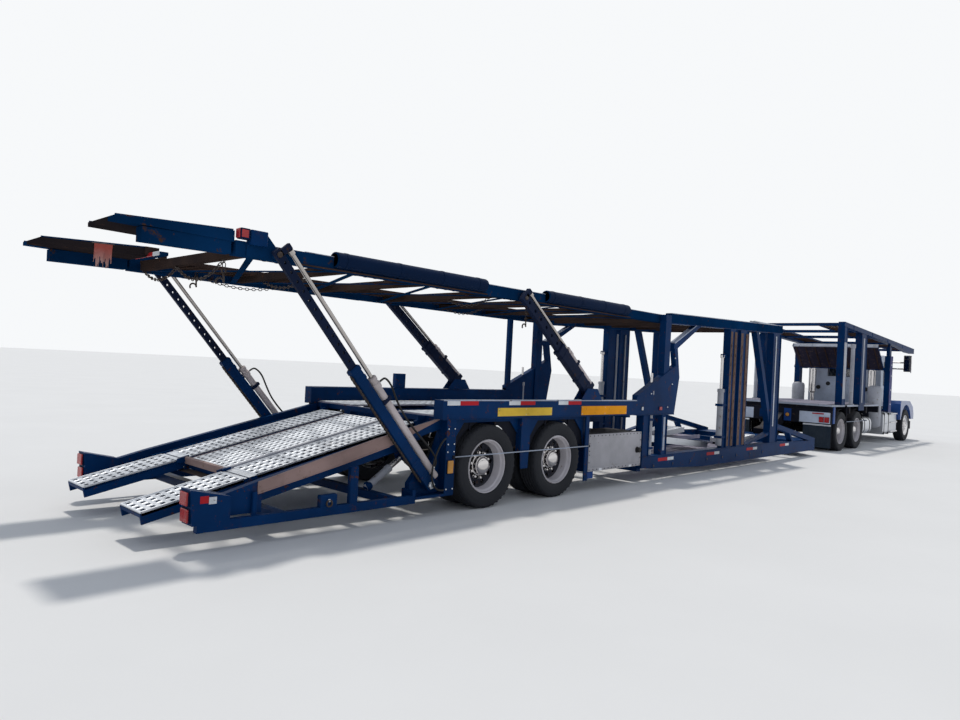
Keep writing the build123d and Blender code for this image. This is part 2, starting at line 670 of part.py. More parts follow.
nodes = {
    "lower_frame": lower_frame(),
    "lower_runways": lower_runways(),
    "rear_frame": rear_frame(),
    "deck_posts": deck_posts(),
    "tail_rails": tail_rails(),
    "side_frames": side_frames(),
    "upper_deck": upper_deck(),
    "trailer_axles": trailer_axles(),
    "toolbox": toolbox(),
    "toolbox_door": toolbox_door(),
    "tail_deck": tail_deck(),
    "flipper_right": flipper(),
    "flipper_left": other_side(flipper()),
    "tail_arm_tubes": tail_arm_tubes(),
    "tail_arm_inners": tail_arm_inners(),
    "mid_arm_tubes": mid_arm_tubes(),
    "mid_arm_inners": mid_arm_inners(),
    "ramp_deck": ramp_deck(),
    "ramp_tips": ramp_tips(),
    "ramp_lift_barrels": ramp_lift_barrels(),
    "ramp_lift_rods": ramp_lift_rods(),
    "tractor_frame": tractor_frame(),
    "tractor_axles": tractor_axles(),
    "knuckle_right": other_side(knuckle()),
    "knuckle_left": knuckle(),
    "engine": engine(),
    "cab_shell": cab_shell(),
    "cab_glass": cab_glass(),
    "cab_interior": cab_interior(),
    "door_right": door(),
    "door_left": other_side(door()),
    "door_glass_right": door_glass(),
    "door_glass_left": other_side(door_glass()),
    "hood": hood(),
    "tanks_steps": tanks_steps(),
    "head_posts": head_posts(),
    "head_post_inners": head_post_inners(),
    "head_deck": head_deck(),
}
for axle, x in (("t1", 0), ("t2", trailer_spread), ("d1", drive_x), ("d2", drive_x + drive_spread)):
    for side in ("right", "left"):
        nodes[f"tyres_{axle}_{side}"] = on_axle(twin_tyres(), x, side)
        nodes[f"rims_{axle}_{side}"] = on_axle(twin_rims(), x, side)
for side in ("right", "left"):
    nodes[f"tyre_steer_{side}"] = on_axle(tyre(0), steer_x, side)
    nodes[f"rim_steer_{side}"] = on_axle(steer_rim(), steer_x, side)

to_origin = Pos(-(tail_tip_x + bumper_x) / 2, 0, 0)
os.makedirs("parts", exist_ok=True)
for name, shape in nodes.items():
    export_step(to_origin * shape, f"parts/{name}.step")
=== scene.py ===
import bpy
import bmesh
from math import cos, pi, radians, sin
from mathutils import Matrix, Vector


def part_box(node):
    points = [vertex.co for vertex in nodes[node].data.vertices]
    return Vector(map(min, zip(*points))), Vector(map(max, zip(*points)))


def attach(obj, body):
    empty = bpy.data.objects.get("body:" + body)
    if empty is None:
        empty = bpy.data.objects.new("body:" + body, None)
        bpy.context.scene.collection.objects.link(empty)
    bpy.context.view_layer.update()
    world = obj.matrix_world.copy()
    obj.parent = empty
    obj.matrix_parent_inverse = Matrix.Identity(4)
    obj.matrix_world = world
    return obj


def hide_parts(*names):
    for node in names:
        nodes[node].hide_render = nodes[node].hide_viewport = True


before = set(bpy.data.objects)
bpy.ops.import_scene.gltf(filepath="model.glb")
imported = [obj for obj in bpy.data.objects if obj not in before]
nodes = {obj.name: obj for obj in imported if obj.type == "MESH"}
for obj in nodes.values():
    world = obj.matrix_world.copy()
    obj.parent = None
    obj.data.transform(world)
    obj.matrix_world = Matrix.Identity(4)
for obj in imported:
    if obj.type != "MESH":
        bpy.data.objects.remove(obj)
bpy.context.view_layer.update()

# stations are measured forward from the trailer's rear axle, which is originShift behind the origin
rearAxleLow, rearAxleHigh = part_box("tyres_t1_right")
originShift = -(rearAxleLow.x + rearAxleHigh.x) / 2
outerY = 1.29


def at(x, y, z):
    return Vector((x - originShift, y, z))


# Camera, from where the photo was taken
cameraSetup = {
    "place": (-5.811, -6.595, 1.568),  # station, distance from the centre line, height
    "yaw": 43.51,
    "pitch": 0.54,
    "roll": 2.93,
    "focalPixels": 707.0,
    "imageWide": 960,
    "sensorWide": 36,
}


def addCamera(setup):
    bpy.ops.object.select_all(action="DESELECT")
    bpy.ops.object.camera_add(location=at(*setup["place"]))
    camera = bpy.context.object
    camera.name = "camera"
    yaw, pitch, roll = (radians(setup[key]) for key in ("yaw", "pitch", "roll"))
    forward = Vector((cos(yaw) * cos(pitch), sin(yaw) * cos(pitch), sin(pitch)))
    level = Vector((sin(yaw), -cos(yaw), 0))
    upright = level.cross(forward)
    right = level * cos(roll) + upright * sin(roll)
    up = upright * cos(roll) - level * sin(roll)
    camera.rotation_euler = Matrix((right, up, -forward)).transposed().to_euler()
    camera.data.sensor_width = setup["sensorWide"]
    camera.data.lens = setup["sensorWide"] * setup["focalPixels"] / setup["imageWide"]
    camera.data.clip_end = 1000
    bpy.context.scene.camera = camera


addCamera(cameraSetup)
print("stage: camera")


# Shader maths: a Wire is an output socket, and sums on it add Math nodes
def maths(operation, swapped=False):
    def apply(wire, *other):
        values = (*other, wire) if swapped else (wire, *other)
        return wire.calc(operation, *values)
    return apply


class Wire:
    def __init__(self, finish, socket):
        self.finish = finish
        self.socket = socket

    def calc(self, operation, *values):
        return self.finish.node("ShaderNodeMath", {"operation": operation}, dict(enumerate(values)))

    __add__, __radd__ = maths("ADD"), maths("ADD", True)
    __sub__, __rsub__ = maths("SUBTRACT"), maths("SUBTRACT", True)
    __mul__, __rmul__ = maths("MULTIPLY"), maths("MULTIPLY", True)
    __truediv__, __rtruediv__ = maths("DIVIDE"), maths("DIVIDE", True)
    __gt__, __lt__ = maths("GREATER_THAN"), maths("LESS_THAN")
    __abs__ = maths("ABSOLUTE")

    def between(self, low, high):
        # 0 below low, 1 above high
        return self.finish.node(
            "ShaderNodeMapRange", {"clamp": True}, {"Value": self, "From Min": low, "From Max": high})


class Finish:
    def __init__(self, name, kind="materials"):
        self.material = getattr(bpy.data, kind).new(name)
        self.material.use_nodes = True
        self.tree = self.material.node_tree
        self.tree.nodes.clear()

    def node(self, kind, settings, sockets, output=0):
        made = self.tree.nodes.new(kind)
        for key, value in settings.items():
            setattr(made, key, value)
        for key, value in sockets.items():
            if isinstance(value, Wire):
                self.tree.links.new(value.socket, made.inputs[key])
            elif isinstance(value, tuple) and made.inputs[key].type == "RGBA":
                made.inputs[key].default_value = (*value, 1)
            else:
                made.inputs[key].default_value = value
        return Wire(self, made.outputs[output]) if output is not None else None

    def place(self, scale=(1, 1, 1)):
        here = self.node("ShaderNodeTexCoord", {}, {}, "Object")
        return self.node("ShaderNodeMapping", {}, {"Vector": here, "Scale": scale})

    def noise(self, scale, detail=4.0, roughness=0.55, where=None):
        return self.node("ShaderNodeTexNoise", {}, {
            "Vector": where or self.place(), "Scale": scale, "Detail": detail, "Roughness": roughness})

    def cells(self, scale):
        return self.node("ShaderNodeTexVoronoi", {}, {"Vector": self.place(), "Scale": scale})

    def axis(self, name):
        return self.node("ShaderNodeSeparateXYZ", {}, {"Vector": self.place()}, name)

    def facing(self, name):
        # how far the surface looks along an axis
        normal = self.node("ShaderNodeNewGeometry", {}, {}, "Normal")
        return self.node("ShaderNodeSeparateXYZ", {}, {"Vector": normal}, name)

    def mix(self, factor, first, second):
        return self.node("ShaderNodeMix", {"data_type": "RGBA", "clamp_factor": True}, {
            0: factor, 6: first, 7: second}, 2)

    def bump(self, height, strength=0.3, distance=0.004):
        return self.node("ShaderNodeBump", {}, {
            "Height": height, "Strength": strength, "Distance": distance})

    def close(self, sockets):
        shader = self.node("ShaderNodeBsdfPrincipled", {}, sockets, "BSDF")
        self.node("ShaderNodeOutputMaterial", {}, {"Surface": shader}, None)
        return self.material


# Stage and light
stageSetup = {"floorHalf": 250, "floorColour": (0.80, 0.80, 0.79), "skyColour": (0.93, 0.945, 0.96),
              "ambient": (0.42, 0.46, 0.53), "sunPower": 1.7, "sunFrom": (0.42, 0.62, 2.42), "sunSoft": 4}


def addStage(setup):
    bpy.ops.object.select_all(action="DESELECT")
    bpy.ops.mesh.primitive_plane_add(size=2 * setup["floorHalf"])
    floor = bpy.context.object
    floor.name = "floor"
    pale = Finish("paleFloor")
    tone = pale.noise(0.6, 3).between(0.3, 0.7)
    colour = setup["floorColour"]
    floor.data.materials.append(pale.close({
        "Base Color": pale.mix(tone, colour, tuple(c * 0.97 for c in colour)), "Roughness": 0.9}))
    bpy.ops.object.light_add(type="SUN", location=(0, 0, 20))
    sun = bpy.context.object
    sun.name = "sun"
    sun.data.energy = setup["sunPower"]
    sun.data.color = (1.0, 0.96, 0.9)
    sun.data.angle = radians(setup["sunSoft"])
    sun.rotation_euler = Vector(setup["sunFrom"]).to_track_quat("Z", "Y").to_euler()
    sky = Finish("sky", "worlds")
    bpy.context.scene.world = sky.material
    direct, through, glossy = (sky.node("ShaderNodeLightPath", {}, {}, f"Is {kind} Ray")
                               for kind in ("Camera", "Transmission", "Glossy"))
    seen = direct.calc("MAXIMUM", direct.calc("MAXIMUM", direct, through), glossy)
    lit, shown = (sky.node("ShaderNodeBackground", {}, {"Color": setup[key]}) for key in ("ambient", "skyColour"))
    blend = sky.node("ShaderNodeMixShader", {}, {0: seen, 1: lit, 2: shown})
    sky.node("ShaderNodeOutputWorld", {}, {"Surface": blend}, None)


addStage(stageSetup)
bpy.context.scene.view_settings.view_transform = "Standard"
print("stage: floor and light")


# Finishes
def wornPaint(
        name, colour, chipColour, chips=0.5, roughness=0.42, dust=0.35, dustColour=(0.30, 0.27, 0.24), shine=0.05):
    finish = Finish(name)
    cloud = finish.noise(1.3, 6, 0.6)
    fine = finish.noise(9, 8, 0.7)
    speck = finish.noise(38, 4, 0.7)
    runs = finish.noise(1.0, 5, 0.6, finish.place(scale=(9, 9, 0.8)))
    shade = finish.mix(cloud.between(0.3, 0.7), tuple(c * 0.72 for c in colour), tuple(c * 1.25 for c in colour))
    chip = (fine * 0.65 + speck * 0.35).between(0.60 - 0.05 * chips, 0.645 - 0.05 * chips)
    streak = (runs * fine).between(0.31, 0.42) * (0.55 * chips)
    worn = finish.mix(chip, shade, chipColour)
    worn = finish.mix(streak, worn, tuple(c * 0.6 + 0.01 for c in chipColour))
    upward = finish.facing("Z").between(0.35, 0.9)
    dusty = upward * cloud.between(0.25, 0.75) * dust + fine.between(0.55, 0.75) * (dust * 0.15)
    worn = finish.mix(dusty, worn, dustColour)
    return finish.close({
        "Base Color": worn, "Roughness": roughness + chip * 0.25 + dusty * 0.3,
        "Specular IOR Level": shine, "Normal": finish.bump(chip * -1 + fine * 0.2, 0.25, 0.002)})


def bareMetal(name, colour, roughness, stain=(0.25, 0.2, 0.17), stains=0.3):
    finish = Finish(name)
    cloud = finish.noise(2.2, 5, 0.6)
    fine = finish.noise(14, 6, 0.7)
    dirt = (cloud * 0.5 + fine * 0.5).between(0.62 - 0.3 * stains, 0.8 - 0.3 * stains) * 0.8
    return finish.close({
        "Base Color": finish.mix(dirt, finish.mix(fine, tuple(c * 0.85 for c in colour), colour), stain),
        "Metallic": 1 - dirt * 0.8, "Roughness": roughness + dirt * 0.35 + fine * 0.08,
        "Normal": finish.bump(fine, 0.12, 0.001)})


def rubber(name, colour, dustColour, roughness=0.72, shine=0.3):
    finish = Finish(name)
    cloud = finish.noise(3, 5, 0.6)
    fine = finish.noise(42, 5, 0.7)
    dusty = (cloud * 0.6 + fine * 0.4).between(0.35, 0.75) * 0.75
    return finish.close({
        "Base Color": finish.mix(dusty, colour, dustColour), "Roughness": roughness + dusty * 0.2,
        "Specular IOR Level": shine, "Normal": finish.bump(fine, 0.35, 0.0015)})


def lens(name, colour, glow=0.04):
    finish = Finish(name)
    cut = finish.cells(130)
    cloud = finish.noise(20, 3)
    return finish.close({
        "Base Color": finish.mix(cloud.between(0.3, 0.8), colour, tuple(c * 0.6 for c in colour)),
        "Roughness": 0.18 + cloud * 0.2, "Emission Color": colour, "Emission Strength": glow,
        "Normal": finish.bump(cut, 0.35, 0.002)})


rust = (0.085, 0.030, 0.014)
navy = wornPaint("navyPaint", (0.001, 0.027, 0.104), rust, chips=0.4, dust=0.05, dustColour=(0.06, 0.10, 0.18))
blueDeck = wornPaint("deckEdgePaint", (0.003, 0.028, 0.085), rust, chips=0.5, dust=0.05, shine=0.0)
armBlack = wornPaint("armPaint", (0.008, 0.015, 0.042), (0.05, 0.028, 0.020), chips=0.5, roughness=0.5, dust=0.15,
                     dustColour=(0.06, 0.06, 0.07))
guardBlack = rubber("guardRubber", (0.003, 0.012, 0.040), (0.005, 0.019, 0.062), 0.34, 0.03)
chassis = wornPaint("chassisPaint", (0.012, 0.014, 0.022), (0.05, 0.03, 0.02), chips=0.6, roughness=0.6)
axlePaint = wornPaint("axlePaint", (0.010, 0.010, 0.011), (0.06, 0.032, 0.02), chips=0.9, roughness=0.8, dust=0.6)
engineIron = wornPaint("castIron", (0.045, 0.044, 0.043), (0.09, 0.05, 0.03), chips=0.8, roughness=0.75)
boxPanel = wornPaint("panelPaint", (0.42, 0.41, 0.43), (0.22, 0.17, 0.14), chips=0.0, roughness=0.35, dust=0.1)
# white cab paint in a bluish grey: painted shade, the sky-lit shade the cab stands in
cabWhiteSkyShaded = wornPaint("cabPaintSkyShaded", (0.55, 0.61, 0.72), (0.30, 0.25, 0.2), chips=0.02, roughness=0.25, dust=0.15)
wingBlue = wornPaint("wingPaint", (0.02, 0.07, 0.26), (0.1, 0.06, 0.04), chips=0.05, roughness=0.22, dust=0.2)
galvanised = bareMetal("galvanisedSteel", (0.66, 0.69, 0.74), 0.42, (0.30, 0.29, 0.30), 0.2)
channelTan = wornPaint("channelAluminium", (0.32, 0.22, 0.20), (0.20, 0.13, 0.10), chips=0.25, roughness=0.42, dust=0.1)
barrelTan = wornPaint("barrelPaint", (0.60, 0.53, 0.52), (0.16, 0.10, 0.07), chips=0.4, roughness=0.4)
rodSteel = bareMetal("rodSteel", (0.46, 0.43, 0.41), 0.22, (0.20, 0.15, 0.12), 0.1)
chrome = bareMetal("chrome", (0.64, 0.62, 0.62), 0.12, (0.32, 0.26, 0.22), -0.2)
alloy = bareMetal("polishedAlloy", (0.74, 0.73, 0.74), 0.24, (0.34, 0.28, 0.25), -0.2)
rimPale = wornPaint("rimBarrel", (0.56, 0.53, 0.55), (0.34, 0.27, 0.24), chips=0.15, roughness=0.3, dust=0.1)
rimDark = wornPaint("rimCentre", (0.030, 0.032, 0.042), (0.07, 0.045, 0.035), chips=0.6, roughness=0.5, dust=0.2)
tankMetal = bareMetal("tankAluminium", (0.62, 0.64, 0.68), 0.35, (0.3, 0.27, 0.25), 0.15)
tyreRubber = rubber("tyreRubber", (0.007, 0.009, 0.014), (0.028, 0.029, 0.034))
flapRubber = rubber("flapRubber", (0.015, 0.026, 0.042), (0.050, 0.060, 0.072), 0.72, 0.1)
hoseRubber = rubber("hoseRubber", (0.010, 0.010, 0.011), (0.035, 0.033, 0.032))
trim = rubber("cabTrim", (0.030, 0.030, 0.033), (0.05, 0.05, 0.05))
# pale blue-grey strips along top edges, lips and thin rods: painted highlight of sky-lit edges
paintedHighlightEdge = wornPaint("paintedHighlightEdges", (0.40, 0.44, 0.52), (0.10, 0.09, 0.10), chips=0.5, roughness=0.4, dust=0.1)
paleTread = wornPaint("paleTread", (0.34, 0.33, 0.42), (0.16, 0.09, 0.06), chips=0.7, roughness=0.5)
rustyTreads = wornPaint("rustyMembers", (0.055, 0.036, 0.031), (0.10, 0.045, 0.028), chips=0.9, roughness=0.7,
                        shine=0.0)
underPanel = wornPaint("underPanel", (0.030, 0.027, 0.046), (0.10, 0.07, 0.06), chips=1.0, roughness=0.7, shine=0.0)
whitePaint = wornPaint("cylinderPaint", (0.44, 0.45, 0.49), (0.25, 0.20, 0.17), chips=0.25, roughness=0.4, dust=0.2)
channelBrown = wornPaint("channelPaint", (0.15, 0.095, 0.075), (0.09, 0.05, 0.03), chips=0.6, roughness=0.6)
violetPaint = wornPaint("violetPaint", (0.055, 0.060, 0.190), rust, chips=0.15, dust=0.2)
mirrorGlass = bareMetal("mirrorGlass", (0.22, 0.25, 0.29), 0.06, (0.15, 0.15, 0.16), -0.1)
clearLens = lens("clearLens", (0.55, 0.57, 0.60), 0.0)
chainSteel = bareMetal("chainSteel", (0.10, 0.085, 0.08), 0.55, (0.05, 0.03, 0.02), 0.6)
redLens = lens("redLens", (0.42, 0.018, 0.022))
amberLens = lens("amberLens", (0.62, 0.27, 0.03))
yellowPanel = wornPaint("yellowReflector", (0.76, 0.50, 0.06), (0.30, 0.20, 0.05), chips=0.1, roughness=0.35)
amberPanel = wornPaint("amberReflector", (0.84, 0.33, 0.01), (0.35, 0.16, 0.03), chips=0.1, roughness=0.35)
tapeRed = wornPaint("redTape", (0.48, 0.022, 0.03), (0.25, 0.03, 0.03), chips=0.1, roughness=0.3, dust=0.1)
tapeWhite = wornPaint("whiteTape", (0.70, 0.72, 0.74), (0.35, 0.33, 0.3), chips=0.1, roughness=0.3, dust=0.1)


def tintedGlass():
    finish = Finish("tintedGlass")
    film = finish.noise(5, 4).between(0.3, 0.8)
    return finish.close({
        "Base Color": finish.mix(film, (0.02, 0.03, 0.035), (0.05, 0.06, 0.065)), "Roughness": 0.05 + film * 0.06,
        "Alpha": 0.45 + film * 0.08, "Specular IOR Level": 0.6})


glass = tintedGlass()


def paintedHood():
    # white middle in a bluish grey that is painted sky shade, with blue wings
    finish = Finish("hoodPaint")
    wing = abs(finish.axis("Y")) > 0.605
    cloud = finish.noise(2.0, 4)
    colour = finish.mix(wing, (0.60, 0.64, 0.72), (0.022, 0.08, 0.30))
    dusty = finish.facing("Z").between(0.4, 1.0) * cloud * 0.3
    return finish.close({
        "Base Color": finish.mix(dusty, colour, (0.42, 0.40, 0.38)), "Roughness": 0.2 + dusty,
        "Coat Weight": 0.3})


hoodPaint = paintedHood()


def paintedDeck(name, dark, light):
    # blue side beams with rusty members between them
    finish = Finish(name)
    side = abs(finish.axis("Y")) > 1.045
    cloud = finish.noise(1.4, 6, 0.6)
    fine = finish.noise(8, 8, 0.7)
    chip = fine.between(0.60, 0.66)
    blue = finish.mix(cloud.between(0.3, 0.7), (0.002, 0.019, 0.060), (0.004, 0.036, 0.115))
    brown = finish.mix(cloud.between(0.3, 0.7), dark, light)
    colour = finish.mix(side, brown, blue)
    worn = finish.mix(chip, colour, (0.060, 0.032, 0.022))
    return finish.close({
        "Base Color": worn, "Roughness": 0.5 + chip * 0.25, "Specular IOR Level": 0.0,
        "Normal": finish.bump(chip * -1 + fine * 0.2, 0.25, 0.002)})


deckPaint = paintedDeck("deckPaint", (0.026, 0.020, 0.021), (0.062, 0.040, 0.032))
flapPaint = paintedDeck("flapPaint", (0.014, 0.012, 0.015), (0.032, 0.024, 0.024))

dressing = {
    navy: ["lower_frame", "rear_frame", "deck_posts", "tail_rails", "side_frames", "tail_arm_tubes",
           "ramp_deck", "ramp_tips", "head_posts", "head_post_inners", "head_deck"],
    deckPaint: ["tail_deck", "upper_deck"],
    flapPaint: ["flipper_right", "flipper_left"],
    paleTread: ["lower_runways"],
    boxPanel: ["toolbox_door"],
    axlePaint: ["trailer_axles", "tractor_axles", "knuckle_right", "knuckle_left"],
    armBlack: ["tail_arm_inners", "mid_arm_tubes", "mid_arm_inners"],
    barrelTan: ["ramp_lift_barrels"],
    chrome: ["ramp_lift_rods"],
    chassis: ["tractor_frame", "toolbox"],
    engineIron: ["engine"],
    # cab paint with painted sky shade in its colour
    cabWhiteSkyShaded: ["cab_shell", "door_right", "door_left"],
    hoodPaint: ["hood"],
    glass: ["cab_glass", "door_glass_right", "door_glass_left"],
    trim: ["cab_interior"],
    tankMetal: ["tanks_steps"],
}
for finish, names in dressing.items():
    for name in names:
        for place in nodes[name].material_slots:
            place.material = finish
for name, node in nodes.items():
    if name.startswith(("tyre", "rim")):
        for place in node.material_slots:
            place.material = tyreRubber if name.startswith("tyre") else alloy
print("stage: finishes on the packed nodes")

# Telescopic lift arms: what their hoses and their tubes are placed by
armPlan = {
    "tail": {"foot": (-0.850, 0.330), "head": (-2.700, 2.420), "y": (1.214, 1.284), "deep": 0.108,
             "tube": (-0.04, 1.56), "inner": 1.20, "offset": 0.112, "barrel": 0.040, "barrelLong": 1.35, "finish": navy,
             "bodies": ("tail_arms", "tail_arm_tops"), "holes": 12},
    "mid": {"foot": (1.950, 1.300), "head": (0.550, 2.400), "y": (1.188, 1.276), "deep": 0.150, "tube": (-0.05, 0.90),
            "inner": 0.66, "offset": 0.104, "barrel": 0.034, "barrelLong": 0.76, "finish": armBlack,
            "bodies": ("mid_arms", "mid_arm_tops"), "holes": 6},
}


def tiltedPlace(foot, head):
    # a frame in which Z runs from foot to head and X looks to the front, and the distance between them
    up = (head - foot).normalized()
    turn = Matrix((Vector((up.z, 0, -up.x)), Vector((0, 1, 0)), up)).transposed().to_4x4()
    return Matrix.Translation(foot) @ turn, (head - foot).length


def armPlace(setup):
    y = -sum(setup["y"]) / 2
    (x0, z0), (x1, z1) = setup["foot"], setup["head"]
    return tiltedPlace(at(x0, y, z0), at(x1, y, z1))


# Hoses, each fixed at both ends on one body
hosePlan = {
    "thick": 0.020,
    # along the tail arm's cylinder, in the arm's frame
    "arm": ((0.166, 0, 0.090), (0.200, 0, 0.092), (0.240, -0.004, 0.150), (0.232, -0.012, 0.330),
            (0.196, -0.016, 0.560), (0.188, -0.004, 0.800), (0.222, 0.012, 0.980), (0.262, 0.012, 1.120),
            (0.246, 0.004, 1.232), (0.200, 0, 1.250), (0.166, 0, 1.250)),
    # on the trailer, beside the arm's foot: station, distance out, height
    "foot": ((-0.664, -1.280, 0.800), (-0.700, -1.300, 0.802), (-0.780, -1.318, 0.740), (-0.850, -1.318, 0.600),
             (-0.880, -1.314, 0.450), (-0.850, -1.310, 0.330), (-0.760, -1.306, 0.262), (-0.664, -1.284, 0.262)),
}


def addHose(name, points, body, thick):
    curve = bpy.data.curves.new(name, "CURVE")
    curve.dimensions = "3D"
    curve.resolution_u = 8
    curve.bevel_resolution = 3
    line = curve.splines.new("NURBS")
    line.points.add(len(points) - 1)
    for point, place in zip(line.points, points):
        point.co = (*place, 1)
    line.order_u = 3
    line.use_endpoint_u = True
    hose = bpy.data.objects.new(name, curve)
    bpy.context.collection.objects.link(hose)
    curve.materials.append(hoseRubber)
    bare = bpy.data.meshes.new_from_object(hose)
    bpy.data.meshes.remove(bare)
    curve.bevel_depth = thick / 2
    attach(hose, body)


def addHoses(plan):
    place = armPlace(armPlan["tail"])[0]
    for side, way in (("Right", 1), ("Left", -1)):
        runs = {"arm": [place @ Vector(point) for point in plan["arm"]], "foot": [at(*point) for point in plan["foot"]]}
        for key, body in (("arm", "tail_arms"), ("foot", "trailer")):
            points = [Vector((point.x, point.y * way, point.z)) for point in runs[key]]
            addHose(key + "Hose" + side, points, body, plan["thick"])


addHoses(hosePlan)
print("stage: hoses")


# Modelling, each piece shaped from a primitive in edit mode
def startFrom(primitive, **settings):
    if bpy.context.object and bpy.context.object.mode != "OBJECT":
        bpy.ops.object.mode_set(mode="OBJECT")
    bpy.ops.object.select_all(action="DESELECT")
    primitive(**settings)
    return bpy.context.object


def choose(piece, kind, test):
    mesh = bmesh.from_edit_mesh(piece.data)
    bpy.ops.mesh.select_mode(type={"verts": "VERT", "edges": "EDGE", "faces": "FACE"}[kind])
    bpy.ops.mesh.select_all(action="DESELECT")
    for item in getattr(mesh, kind):
        item.select_set(bool(test(item)))
    bmesh.update_edit_mesh(piece.data)


def editing():
    bpy.ops.object.mode_set(mode="EDIT")
    bpy.ops.mesh.select_all(action="SELECT")


def outward():
    bpy.ops.mesh.select_all(action="SELECT")
    bpy.ops.mesh.normals_make_consistent(inside=False)


def bevel(offset, segments=1):
    bpy.ops.mesh.bevel(offset=offset, segments=segments, affect="EDGES")


def roundEdges(piece, axis, least, offset, segments):
    # rounds the edges that run along an axis for more than the least length
    choose(piece, "edges", lambda item: abs(item.verts[0].co[axis] - item.verts[1].co[axis]) > least)
    bevel(offset, segments)


def insets(*steps):
    # rings of (width, depth) one inside the other on the chosen faces
    for width, depth in steps:
        bpy.ops.mesh.inset(thickness=width, depth=depth)


def finishPiece(piece, material, smooth=None):
    if bpy.context.object.mode != "OBJECT":
        bpy.ops.object.mode_set(mode="OBJECT")
    bpy.ops.object.transform_apply(location=True, rotation=True, scale=True)
    if smooth:
        bpy.ops.object.shade_smooth_by_angle(angle=radians(smooth))
    piece.data.materials.clear()
    piece.data.materials.append(material)
    return piece


def block(x, y, z):
    # a block in edit mode, from (low, high) pairs of stations, distances out and heights
    middle = at(*((low + high) / 2 for low, high in (x, y, z)))
    size = [high - low for low, high in (x, y, z)]
    piece = startFrom(bpy.ops.mesh.primitive_cube_add, size=1, location=middle, scale=size)
    bpy.ops.object.transform_apply(location=True, rotation=True, scale=True)
    editing()
    return piece


def bar(material, x, y, z, edge=0.004):
    # a squared bar from such pairs, with its edges broken
    piece = block(x, y, z)
    thin = min(high - low for low, high in (x, y, z))
    bevel(min(edge, thin * 0.3))
    return finishPiece(piece, material)


def localBar(material, x, y, z, edge=0.004):
    # the same in a piece's own frame
    return bar(material, tuple(v + originShift for v in x), y, z, edge)


def bars(material, edge, *places):
    return [bar(material, x, y, z, edge) for x, y, z in places]


def plate(material, outline, y, edge=0.003):
    # a plate with an outline of (station, height) points, from y[0] to y[1]
    piece = startFrom(bpy.ops.mesh.primitive_circle_add, vertices=len(outline), radius=1, fill_type="NGON")
    for corner, (x, z) in zip(piece.data.vertices, outline):
        corner.co = at(x, y[0], z)
    editing()
    bpy.ops.mesh.extrude_region_move(TRANSFORM_OT_translate={"value": (0, y[1] - y[0], 0)})
    outward()
    if edge:
        bevel(edge)
    return finishPiece(piece, material)


def rod(material, start, end, radius, sides=12, edge=0.3):
    # a round bar between two points, with its ends chamfered
    along = Vector(end) - Vector(start)
    piece = startFrom(
        bpy.ops.mesh.primitive_cylinder_add, vertices=sides, radius=radius, depth=along.length,
        location=(Vector(start) + Vector(end)) / 2, rotation=along.to_track_quat("Z", "Y").to_euler())
    editing()
    choose(piece, "edges", lambda item: any(len(face.verts) > 4 for face in item.link_faces))
    bevel(radius * edge)
    return finishPiece(piece, material, 50)


def turned(material, profile, steps=32, smooth=35):
    # a round piece about its own Z axis from a loop of (radius, height) points
    piece = startFrom(bpy.ops.mesh.primitive_circle_add, vertices=len(profile), radius=1, fill_type="NOTHING")
    for corner, (radius, height) in zip(piece.data.vertices, profile):
        corner.co = (radius, 0, height)
    editing()
    bpy.ops.mesh.spin(steps=steps, angle=2 * pi, center=(0, 0, 0), axis=(0, 0, 1))
    bpy.ops.mesh.select_all(action="SELECT")
    bpy.ops.mesh.remove_doubles(threshold=0.0002)
    bpy.ops.mesh.normals_make_consistent(inside=False)
    return finishPiece(piece, material, smooth)


def joined(parts):
    # one piece from a list of parts, or the piece itself
    if not isinstance(parts, list):
        return parts
    bpy.ops.object.select_all(action="DESELECT")
    for part in parts:
        part.select_set(True)
    bpy.context.view_layer.objects.active = parts[0]
    if len(parts) > 1:
        bpy.ops.object.join()
    return parts[0]


def copied(piece, matrix):
    # a copy with its own mesh, placed by a matrix
    twin = piece.copy()
    twin.data = piece.data.copy()
    bpy.context.collection.objects.link(twin)
    twin.data.transform(matrix)
    if matrix.determinant() < 0:
        twin.data.flip_normals()
    return twin


def moved(piece, matrix):
    piece = joined(piece)
    piece.data.transform(matrix)
    if matrix.determinant() < 0:
        piece.data.flip_normals()
    return piece


def quarter(axis, turns=1.0):
    return Matrix.Rotation(turns * pi / 2, 4, axis)


def placed(piece, x, y, z, turn=quarter("Z", 0)):
    return moved(piece, Matrix.Translation(at(x, y, z)) @ turn)


def bolt(x, z, y, radius, sides=6):
    # a bolt head or pin across the side, from y[0] to y[1]
    return rod(galvanised, at(x, y[0], z), at(x, y[1], z), radius, sides)


def strip(material, line, x, z, y):
    # a plate that follows the sloping line between two stations
    ends = [(x[0], z[0]), (x[0], z[1]), (x[1], z[1]), (x[1], z[0])]
    return plate(material, [(station, line(station) + up) for station, up in ends], y, 0.002)


def strewn(model, matrices):
    # one piece from many copies of a small model, which is used up
    whole = bmesh.new()
    for matrix in matrices:
        start = len(whole.verts)
        whole.from_mesh(model.data)
        whole.verts.ensure_lookup_table()
        bmesh.ops.transform(whole, matrix=matrix, verts=whole.verts[start:])
    whole.to_mesh(model.data)
    whole.free()
    return model


def removed(*parts):
    for part in parts:
        bpy.data.objects.remove(part, do_unlink=True)


def cutBy(piece, cutter):
    bpy.ops.object.select_all(action="DESELECT")
    piece.select_set(True)
    bpy.context.view_layer.objects.active = piece
    change = piece.modifiers.new("cut", "BOOLEAN")
    change.operation = "DIFFERENCE"
    change.solver = "EXACT"
    change.object = cutter
    bpy.ops.object.modifier_apply(modifier=change.name)
    removed(cutter)
    return piece


def put(piece, name, body, slot=None, *standsFor):
    piece = joined(piece)
    piece.name = name
    piece.data.name = name
    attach(piece, body)
    if standsFor:
        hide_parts(*standsFor)


acrossMirror = Matrix.Diagonal((1, -1, 1, 1))


